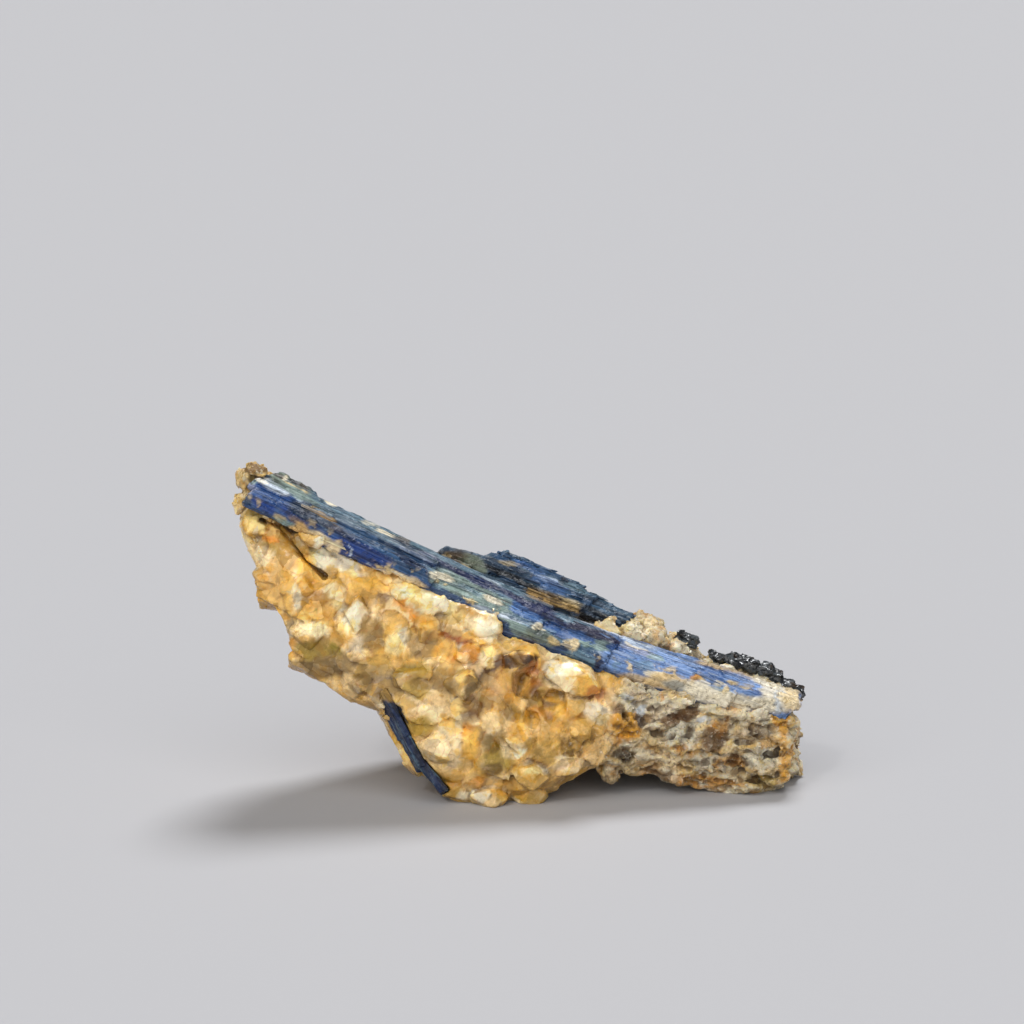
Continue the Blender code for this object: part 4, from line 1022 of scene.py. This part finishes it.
BLADE_MARKINGS = (
    # the left tip and the long upper blade
    (-39.0, 48.0, 4.8, 1.3, -27, "deep blue", 0.9),
    (-41.4, 46.9, 2.0, 0.8, -30, "royal", 0.9),
    (-36.0, 45.4, 3.0, 0.9, -27, "royal", 0.9),
    (-43.9, 49.4, 1.1, 1.8, -10, "lavender", 0.85),
    (-43.2, 50.8, 0.6, 0.5, 0, "sea grey", 0.7),
    (-39.9, 50.0, 2.5, 0.7, -32, "ice", 0.95),
    (-41.6, 51.0, 0.9, 0.5, -20, "white", 0.6),
    (-37.4, 50.6, 4.0, 1.1, -28, "olive grey", 0.85),
    (-36.0, 48.9, 3.4, 0.6, -30, "sea grey", 0.9),
    (-36.4, 49.9, 2.0, 0.18, -30, "crumb", 0.85),
    (-35.2, 49.9, 1.9, 0.25, -38, "bark", 0.8),
    (-38.0, 51.4, 0.5, 0.35, 0, "white", 0.9),
    (-36.6, 50.9, 0.8, 0.3, -35, "black", 0.8),
    (-38.9, 51.8, 0.8, 0.4, -20, "bark", 0.7),
    (-32.8, 45.1, 5.2, 1.15, -26, "night", 0.95),
    (-33.2, 46.2, 1.4, 0.3, -30, "crumb", 0.8),
    (-31.5, 45.2, 1.8, 0.35, -26, "tan", 0.75),
    (-30.0, 43.3, 1.0, 0.45, -25, "dusk", 0.7),
    (-34.9, 46.0, 1.0, 0.3, -30, "black", 0.6),
    (-26.0, 45.0, 9.0, 1.2, -26, "slate", 0.8),
    (-29.5, 47.2, 4.0, 0.5, -26, "night", 0.5),
    (-30.6, 47.3, 0.9, 0.25, -25, "white", 0.85),
    (-22.0, 42.4, 1.7, 0.22, -25, "white", 0.9),
    (-24.5, 44.0, 1.6, 0.18, -25, "white", 0.5),
    (-19.4, 41.4, 1.3, 0.45, -25, "dusk", 0.6),
    (-18.2, 40.3, 3.2, 0.5, -26, "night", 0.6),
    (-17.6, 39.1, 3.0, 0.45, -26, "lavender", 0.6),
    (-22.4, 40.2, 7.8, 1.1, -26, "steel", 0.9),
    (-27.0, 40.3, 4.6, 1.0, -28, "deep blue", 0.7),
    (-25.6, 39.0, 4.9, 1.7, -28, "royal", 0.97),
    (-28.9, 40.8, 1.3, 0.9, -28, "royal", 0.9),
    (-29.4, 42.4, 3.0, 0.5, -26, "navy", 0.8),
    (-17.6, 36.6, 3.2, 1.1, -27, "steel", 0.9),
    (-19.0, 38.2, 3.2, 0.45, -26, "navy", 0.85),
    # A thin dark line where the blade breaks off: painted shadow.
    (-15.1, 35.4, 0.35, 1.2, 20, "navy", 0.95),
    (-27.6, 39.6, 0.15, 1.1, 12, "ice", 0.8),
    (-23.6, 36.6, 0.8, 0.25, -25, "ice", 0.8),
    (-25.0, 37.4, 0.6, 0.2, -25, "ice", 0.6),
    # the shelf under the middle, and the dark seam above it, whose black gap between the blades is painted
    # shade
    (-11.6, 34.5, 3.6, 1.5, -26, "sea grey", 0.95),
    (-13.4, 35.4, 1.7, 0.7, -20, "chalk", 0.85),
    (-6.6, 32.0, 4.6, 1.5, -27, "sea grey", 0.95),
    (-5.0, 31.6, 1.6, 0.6, -22, "chalk", 0.9),
    (-6.8, 29.9, 2.0, 0.6, -28, "ice", 0.7),
    (-8.8, 33.4, 2.2, 0.3, -26, "slate", 0.7),
    (0.0, 29.6, 3.0, 1.1, -27, "blue", 0.8),
    (-2.4, 28.4, 2.4, 0.5, -22, "ice", 0.9),
    (-1.0, 26.9, 2.4, 1.0, -28, "sea grey", 0.95),
    (2.6, 25.6, 2.6, 1.0, -24, "olive grey", 0.8),
    (2.2, 27.2, 1.0, 0.5, -28, "white", 0.9),
    (0.2, 25.2, 1.6, 0.5, -25, "bark", 0.5),
    (-1.4, 25.2, 1.6, 0.35, -50, "slate", 0.7),
    (5.8, 26.4, 3.0, 0.9, -26, "deep blue", 0.85),
    (9.4, 25.6, 2.6, 0.7, -24, "blue", 0.8),
    (5.6, 24.0, 1.0, 0.4, -30, "night", 0.7),
    (8.8, 22.4, 2.4, 1.0, -28, "slate", 0.9),
    (12.2, 24.3, 1.5, 0.8, -20, "sea grey", 0.85),
    (11.5, 21.6, 0.7, 1.2, -6, "navy", 0.98),
    (12.6, 22.8, 0.9, 0.4, -20, "ice", 0.6),
    (-12.6, 37.2, 2.6, 0.7, -25, "night", 0.6),
    (-14.0, 38.3, 3.0, 0.3, -25, "lavender", 0.6),
    (-8.6, 35.3, 5.2, 0.6, -26, "indigo", 0.95),
    (0.2, 31.2, 5.2, 0.6, -26, "indigo", 0.98),
    (-3.0, 33.8, 5.0, 0.35, -26, "slate", 0.8),
    (4.0, 30.4, 5.0, 0.4, -25, "night", 0.8),
    (4.6, 28.6, 4.6, 0.45, -25, "indigo", 0.9),
    (11.0, 26.2, 4.2, 0.5, -24, "plum", 0.98),
    (-5.4, 34.7, 2.2, 0.18, -26, "ice", 0.7),
    (11.6, 27.2, 4.2, 0.32, -24, "ice", 0.85),
    (7.2, 28.6, 2.2, 0.3, -24, "slate", 0.8),
    (17.6, 24.6, 3.4, 0.4, -22, "ice", 0.7),
    # The black gaps between the blades, on this line and the next: painted shade.
    (9.8, 28.9, 9.8, 0.36, -25, "black", 0.95),
    (20.4, 24.7, 5.0, 0.2, -20, "black", 0.8),
    (4.2, 31.4, 4.4, 0.75, -21, "gold tan", 0.95),
    (-44.3, 48.0, 1.0, 0.9, 0, "night", 0.8),
    # the right block, paler and crusted towards its end
    (14.4, 23.6, 1.8, 0.6, -18, "deep blue", 0.9),
    (15.6, 21.8, 3.4, 1.5, -10, "lavender blue", 0.9),
    (14.2, 21.4, 0.3, 1.0, 10, "slate", 0.6),
    (19.0, 20.8, 1.6, 0.9, -12, "slate", 0.6),
    (18.4, 23.2, 3.2, 0.5, -20, "lavender", 0.8),
    (17.4, 24.0, 2.2, 0.18, -22, "chalk", 0.7),
    (24.4, 21.8, 4.6, 1.2, -19, "lavender blue", 0.85),
    (20.6, 22.2, 1.2, 0.4, -15, "sea grey", 0.7),
    (30.2, 19.4, 3.0, 1.0, -20, "blue", 0.8),
    (35.6, 17.9, 3.6, 1.0, -20, "lavender blue", 0.9),
    (37.4, 16.4, 1.4, 0.5, -24, "deep blue", 0.7),
    (33.2, 19.9, 4.6, 0.4, -18, "lavender", 0.7),
    (31.6, 16.6, 1.2, 0.8, -20, "slate", 0.8),
    (20.6, 19.4, 2.0, 0.4, -6, "chalk", 0.9),
)
# Pale crust that has crept over the blades: the same columns.
BLADE_CRUSTS = (
    (4.4, 24.9, 0.9, 0.6, -20, "crumb", 0.8),
    (7.4, 24.4, 1.0, 0.9, 0, "pale", 0.9),
    (9.8, 24.4, 0.7, 0.6, 0, "sea grey", 0.9),
    (16.4, 20.8, 0.5, 0.9, 10, "pale", 0.8),
    (-38.9, 45.0, 1.0, 0.5, -25, "crumb", 0.7),
    (-36.0, 44.4, 1.6, 0.6, -26, "dusk", 0.7),
    (22.6, 18.2, 3.6, 1.3, -8, "crust", 0.9),
    (24.6, 17.4, 2.6, 0.9, -14, "slate", 0.6),
    (27.2, 19.0, 0.7, 0.6, 0, "ochre", 0.9),
    (28.2, 16.6, 2.8, 1.6, -20, "chalk", 0.9),
    (33.0, 15.0, 3.6, 1.4, -14, "chalk", 0.9),
    (33.4, 18.2, 0.8, 0.3, -20, "crumb", 0.8),
    (31.0, 18.0, 0.9, 0.5, -20, "chalk", 0.7),
    (29.4, 20.9, 2.6, 0.4, -16, "crust", 0.8),
    (35.6, 19.6, 4.4, 0.7, -16, "crust", 0.75),
    (38.4, 18.4, 2.6, 1.0, -24, "chalk", 0.8),
    (36.8, 20.2, 2.4, 0.4, -20, "dusk", 0.5),
    (39.6, 16.4, 2.0, 1.6, -40, "white", 0.75),
    (38.6, 14.4, 3.2, 1.2, -10, "chalk", 0.9),
    (40.9, 15.0, 0.8, 1.9, 10, "ice", 0.85),
    (42.4, 15.6, 1.8, 2.2, 0, "cream", 0.9),
    (17.4, 18.8, 3.0, 0.6, -12, "crust", 0.7),
    (-37.6, 43.6, 2.6, 0.7, -28, "sea grey", 0.8),
    (-35.9, 43.2, 1.4, 1.0, -10, "tan", 0.9),
    (-33.0, 41.8, 2.4, 0.9, -20, "cream", 0.9),
    (-30.4, 39.6, 1.2, 1.6, -20, "cream", 0.9),
    (-27.4, 37.3, 2.2, 0.7, -26, "pale", 0.85),
    (-20.6, 35.6, 2.4, 0.8, -20, "cream", 0.9),
    (-17.6, 34.6, 2.0, 0.5, -26, "blush", 0.8),
)
RIDGE_MARKINGS = (
    (-11.4, 38.4, 1.7, 1.2, -10, "bark", 0.9),
    (-12.6, 38.9, 0.7, 0.4, 0, "crumb", 0.6),
    (-8.0, 37.6, 2.6, 1.1, -22, "olive grey", 0.9),
    (-10.0, 37.0, 0.9, 0.5, -20, "cream", 0.8),
    (-5.2, 38.0, 1.0, 0.6, -30, "night", 0.8),
    (-2.6, 38.5, 2.2, 0.6, -15, "steel", 0.9),
    (-2.6, 37.6, 1.7, 0.4, -10, "crumb", 0.5),
    (-3.0, 36.6, 3.0, 0.5, -26, "night", 0.8),
    (-1.4, 35.0, 5.0, 0.5, -27, "black", 0.95),
    (0.8, 36.9, 2.6, 0.8, -26, "blue", 0.6),
    (3.6, 36.4, 3.4, 0.5, -28, "steel", 0.8),
    (3.2, 35.0, 1.6, 0.4, -20, "ice", 0.7),
    (3.8, 34.0, 3.0, 0.8, -26, "blue", 0.6),
    (6.4, 34.6, 1.4, 0.4, -40, "black", 0.8),
    (8.0, 33.4, 2.2, 0.8, -26, "slate", 0.7),
    (8.6, 32.0, 2.6, 0.7, -26, "steel", 0.8),
    (10.6, 31.6, 2.6, 0.5, -22, "night", 0.7),
    (3.6, 32.5, 3.0, 0.4, -22, "bark", 0.9),
    (7.2, 31.2, 1.6, 0.5, -20, "crumb", 0.6),
    (10.2, 30.0, 3.0, 0.5, -24, "black", 0.7),
)
LEFT_SLOPE = -0.49          # fall of the blades to the left of the bend, height over length
RIGHT_SLOPE = -0.385
BEND_AT = -15.0
FLANK_LEAN = (0.56, -0.83)  # the flank blade's run, in x and z
STREAK_SIZE = np.array((12.0, 0.35, 0.35))
NO_FLAKES_PAST = 36.0       # how far to either side flakes lie
FLAKE_WIDTHS = (0.10, 0.34)
FLAKE_LIFT = 0.4            # how far a flake's ends may be from the solid


def blade_line(points):
    """Points with the blades' own slope taken out, so that X runs along every blade."""
    line = points.copy()
    x = points[:, 0]
    line[:, 2] -= np.where(x < BEND_AT, LEFT_SLOPE, RIGHT_SLOPE) * (x - BEND_AT)
    return line


def striate(skin, seed, depth):
    """Cleavage steps, fine striations and chipped edges."""
    line = blade_line(skin.points)
    broad = np.abs(skin.normals()[:, 2])
    step = rough_noise(line, (11.0, 1.5, 1.5), seed, 2)
    step = np.round(step * 3.0 + 0.5 * rough_noise(line, (1.6, 0.8, 0.8), seed + 1, 2)) / 3.0
    skin.push(depth * (0.17 * step + 0.02) * (0.5 + 0.5 * broad))
    skin.push(depth * 0.08 * rough_noise(line, (12.0, 0.5, 0.5), seed + 2, 3))
    ridge = np.clip(-skin.hollowness(rounds=10, depth=0.30), 0, 1)
    chip = ease(0.0, 0.5, rough_noise(line, (1.5, 0.9, 0.9), seed + 3, 3))
    skin.push(-depth * 0.85 * ridge * chip)
    skin.push(depth * 0.05 * rough_noise(line, (1.2, 0.5, 0.5), seed + 4, 3))
    return line


def streaks(line):
    """Coordinates for the material's streaks, counted in streaks along and across."""
    return line / STREAK_SIZE


def splinters(skin, rng, count, longest, thickest, wobble):
    """Thin cleavage flakes lying along the blades."""
    shapes = hull_shapes(rng, count=24, corners=14, boxy=True)
    facing = skin.normals()
    weight = 0.15 + (facing[:, 2] > 0.2) + (facing[:, 1] < -0.4)
    weight = weight * (np.abs(skin.points[:, 0]) < NO_FLAKES_PAST)
    picks = rng.choice(len(skin.points), count, False, weight / weight.sum())
    middles = skin.points[picks]
    slope = np.where(middles[:, 0] < BEND_AT, LEFT_SLOPE, RIGHT_SLOPE)
    along = np.stack([np.ones(count), np.zeros(count), slope], axis=1)
    along = along + wobble * rng.normal(size=(count, 3))
    up = facing[picks] + 0.5 * wobble * rng.normal(size=(count, 3))
    along /= np.linalg.norm(along, axis=1)[:, None]
    across = np.cross(up, along)
    across /= np.linalg.norm(across, axis=1)[:, None]
    turns = np.stack([along, across, np.cross(along, across)], axis=2)
    sizes = np.stack([
        longest * rng.uniform(0.25, 1.0, count) ** 1.5 * 0.5,
        rng.uniform(*FLAKE_WIDTHS, count),
        thickest * rng.uniform(0.3, 1.0, count) * 0.5,
    ], axis=1)
    tints = skin.colors[picks] * rng.uniform(0.65, 1.3, count)[:, None]
    tints = blend_in(tints, "ice", 0.35 * (rng.random(count) < 0.12))
    tints = blend_in(tints, "navy", 0.5 * (rng.random(count) < 0.20))
    # Only flakes with both ends on the blade.
    lies = np.array([
        all(skin.tree.find_nearest(Vector(middle + side * reach))[3] < FLAKE_LIFT for side in (-1, 1))
        for middle, reach in zip(middles, along * sizes[:, :1])])
    points, triangles, owner = scatter(rng, shapes, middles[lies], turns[lies], sizes[lies])
    return points, triangles, tints[lies][owner]


def finish_blades(skin, material, slot, crust, seed, **flakes):
    """Adds the flakes and writes the piece."""
    # How deep in a hollow each corner lies: the material paints the hollows nearly black, painted shade.
    pit = 0.7 * skin.hollowness(rounds=12, depth=0.35) + 0.4 * skin.hollowness(rounds=3, depth=0.1)
    pit = np.clip(pit, 0, 1)
    points, triangles, colors = splinters(skin, np.random.default_rng(seed), **flakes)
    skin.add_shards(points, triangles)
    skin.colors = np.concatenate([skin.colors, colors])
    pit = np.concatenate([pit, np.zeros(len(points))])
    crust = np.concatenate([crust, np.zeros(len(points))])
    grain = streaks(blade_line(skin.points))
    skin.write(material, slot, crease=22, pit=pit, crust=crust, grain=grain)


def warp_along(line, seed):
    """How far markings wander: well along a blade, little across it."""
    return np.stack([0.8 * rough_noise(line, (2.5, 1.0, 1.0), seed, 4),
                     0.20 * rough_noise(line, (3.0, 0.6, 0.6), seed + 1, 4)], axis=1)


def front_crust(colors, seams, warp):
    """Colours with the pale crust and the grit along the blades' foot, and where they lie."""
    whole = [(*crust[:5], "#ffffff", crust[6]) for crust in BLADE_CRUSTS]
    crust = lay_patches(np.zeros_like(colors), seams, whole, 0.3, warp)[:, 0]
    seen = on_sheet(seams)
    from_foot = np.abs(seen[:, 1] - blade_foot(seen[:, 0]) - 0.5)
    grit = ease(0.35, 0.7, rough_noise(seams, 1.4, 216, 4)) * (1 - ease(0.3, 1.8, from_foot))
    colors = lay_patches(colors, seams, BLADE_CRUSTS, 0.3, warp)
    return blend_in(colors, "crumb", 0.8 * grit), np.maximum(crust, 0.8 * grit)


def make_front_blades(material):
    skin = Skin("front_kyanite", "front_blades", voxel=0.22, swell=0.14)
    seams = skin.points.copy()
    line = striate(skin, seed=201, depth=1.0)
    facing = skin.normals()
    # up: the faces that look up. They are painted paler slate, with stronger pale streaks: painted light
    # from above.
    up = ease(0.35, 0.85, facing[:, 2] + 0.18 * rough_noise(line, (8, 1, 1), 211, 2))
    streak = ease(0.25, 0.8, rough_noise(line, (7.0, 0.5, 0.5), 213, 4)) * (0.15 + 0.85 * up)
    vein = ease(0.25, 0.8, rough_noise(line, (16.0, 0.5, 0.5), 214, 3))
    speck = ease(0.2, 0.7, rough_noise(seams, (1.1, 0.6, 0.6), 215, 4))
    warp = warp_along(line, 221)
    colors = all_one("#2a4876", len(seams))
    colors = blend_in(colors, "lavender blue", 0.7 * ease(10, 15, seams[:, 0]))
    # Painted light from above on the faces that look up.
    colors = blend_in(colors, "slate", up * (1 - ease(8, 14, seams[:, 0])))
    colors = blend_in(colors, "ice", 0.45 * streak)
    colors = lay_patches(colors, seams, BLADE_MARKINGS, 0.18, warp, BAR)
    colors = blend_in(colors, "ice", 0.15 * streak)
    colors = blend_in(colors, "navy", 0.45 * vein)
    colors = blend_in(colors, "black", 0.45 * speck)
    colors = colors * (1 + 0.25 * rough_noise(line, (14.0, 0.5, 0.5), 212, 3))[:, None]
    skin.colors, crust = front_crust(colors, seams, warp)
    cell, away, _ = crystal_cells(seams, size=0.9, seed=217)
    skin.push(skin.relaxed(crust * (0.10 + broken_faces(away, cell, seed=218, slope=0.5, lift=0.25)), 1))
    finish_blades(skin, material, "blue_kyanite", crust, seed=41, count=110, longest=9.0, thickest=0.30,
                  wobble=0.02)


def make_back_blades(material):
    skin = Skin("back_kyanite", "back_blades", voxel=0.26, swell=0.12)
    seams = skin.points.copy()
    line = striate(skin, seed=301, depth=1.6)
    up = ease(0.3, 0.9, skin.normals()[:, 2])
    left = 1 - ease(-10.5, -6.5, seams[:, 0])
    crust = 0.7 * ease(0.1, 0.5, rough_noise(seams, 1.6, 331, 4)) * left
    colors = all_one("#2f4763", len(seams))
    # Faces that look up are painted paler slate: painted light from above.
    colors = blend_in(colors, "slate", 0.4 * up)
    colors = blend_in(colors, "black", 0.6 * ease(0.0, 0.6, rough_noise(line, (7.0, 0.7, 0.7), 311, 3)))
    colors = blend_in(colors, "ice", 0.4 * ease(0.35, 0.9, rough_noise(line, (3.0, 0.6, 0.6), 312, 4)))
    warp = warp_along(line, 321)
    colors = lay_patches(colors, seams, BLADE_MARKINGS + RIDGE_MARKINGS, 0.2, warp, BAR)
    skin.colors = blend_in(colors, "bark", 0.7 * crust)
    finish_blades(skin, material, "dark_kyanite", crust, seed=43, count=170, longest=4.5, thickest=0.6,
                  wobble=0.035)


def make_flank_blade(material):
    skin = Skin("flank_kyanite", "flank_blade", voxel=0.2, swell=0.1)
    seams = skin.points.copy()
    turned = seams.copy()
    down, back = FLANK_LEAN
    turned[:, 0] = down * seams[:, 0] + back * seams[:, 2]
    turned[:, 2] = down * seams[:, 2] - back * seams[:, 0]
    fibres = 0.14 * rough_noise(turned, (8.0, 0.5, 0.5), 402, 3)
    skin.push(fibres + 0.08 * rough_noise(seams, 1.0, 403, 3))
    buried = ease(14.8, 15.6, on_sheet(seams)[:, 1] + 0.3 * rough_noise(seams, 0.8, 413, 2))
    colors = all_one("#1b2c50", len(seams))
    colors = blend_in(colors, "slate", 0.7 * ease(0.1, 0.6, rough_noise(turned, (6.0, 0.45, 0.45), 411, 3)))
    colors = blend_in(colors, "black", 0.7 * ease(0.1, 0.6, rough_noise(turned, (8.0, 0.4, 0.4), 412, 3)))
    skin.colors = blend_in(colors, "smoky", buried)
    # How deep in a hollow each corner lies: the material paints the hollows nearly black, painted shade.
    pit = np.clip(skin.hollowness(rounds=10, depth=0.3), 0, 1)
    skin.write(material, "flank_kyanite", crease=24, pit=pit, grain=streaks(turned))


# ---------------------------------------------------------------- black crystals

def make_dark_crystals(name, node, seed, material):
    skin = Skin(name, node, voxel=0.17, swell=0.1)
    seams = skin.points.copy()
    plates = blade_line(seams)
    cell, away, _ = crystal_cells(plates, (2.4, 1.3, 0.7), seed)
    faces = broken_faces(away, cell, seed + 3, slope=0.35, lift=0.22)
    skin.push(faces + 0.05 * rough_noise(seams, 0.7, seed + 4, 2) - 0.12)
    colors = all_one("#1d2024", len(seams))
    colors = blend_in(colors, "#5d6468", 0.5 * ease(0.5, 1.0, random_at(cell, seed + 9)))
    skin.colors = blend_in(colors, "umber", 0.4 * ease(0.35, 0.8, rough_noise(seams, 1.5, seed + 11, 3)))
    skin.write(material, "black_crystal", crease=24)


# ---------------------------------------------------------------- studio

FLOOR_HALF = 12.0           # metres, so that the floor fills the view
ROOM_LIGHT = 0.10


def make_floor():
    mesh = bpy.data.meshes.new("floor")
    corners = [(x * FLOOR_HALF, y * FLOOR_HALF, 0) for x, y in ((-1, -1), (1, -1), (1, 1), (-1, 1))]
    mesh.from_pydata(corners, [], [(0, 1, 2, 3)])
    floor = bpy.data.objects.new("floor", mesh)
    bpy.context.scene.collection.objects.link(floor)
    material, shader, _ = new_material("matt paper sweep")
    wire(shader, Base_Color="#b5b5b8", Roughness=0.85)
    mesh.materials.append(material)


# Soft lamps far away: name, strength, width in degrees, lean forward, lean sideways, colour.
LAMPS = (
    ("front softbox", 2.3, 95, 55, -14, (1.0, 0.985, 0.955)),
    ("top softbox", 2.5, 20, -28, 8, (0.97, 0.98, 1.0)),
    ("small lamp", 0.4, 6, 38, -30, (1.0, 0.99, 0.97)),
)


def set_lights():
    world = bpy.data.worlds.new("studio")
    world.use_nodes = True
    bpy.context.scene.world = world
    wire(world.node_tree.nodes["Background"], Color="#e4e4ea", Strength=ROOM_LIGHT)
    for name, strength, width, forward, sideways, color in LAMPS:
        lamp = bpy.data.lights.new(name, "SUN")
        lamp.energy = strength
        lamp.angle = math.radians(width)
        lamp.color = color
        holder = bpy.data.objects.new(name, lamp)
        holder.rotation_euler = (math.radians(forward), math.radians(sideways), 0)
        bpy.context.scene.collection.objects.link(holder)
    bpy.context.scene.view_settings.view_transform = "Standard"


set_camera()
make_quartz(stained_quartz())
make_front_blades(kyanite("blue kyanite", "#0a1a40", "#b4c2cf", 0.27))
make_back_blades(kyanite("dark kyanite", "#0c1119", "#8492a0", 0.32))
make_flank_blade(kyanite("flank kyanite", "#080f20", "#7788a0", 0.28))
black = black_crystal()
make_dark_crystals("black_knob", "dark_knob", 501, black)
make_dark_crystals("black_ridge", "dark_ridge", 601, black)
make_floor()
set_lights()
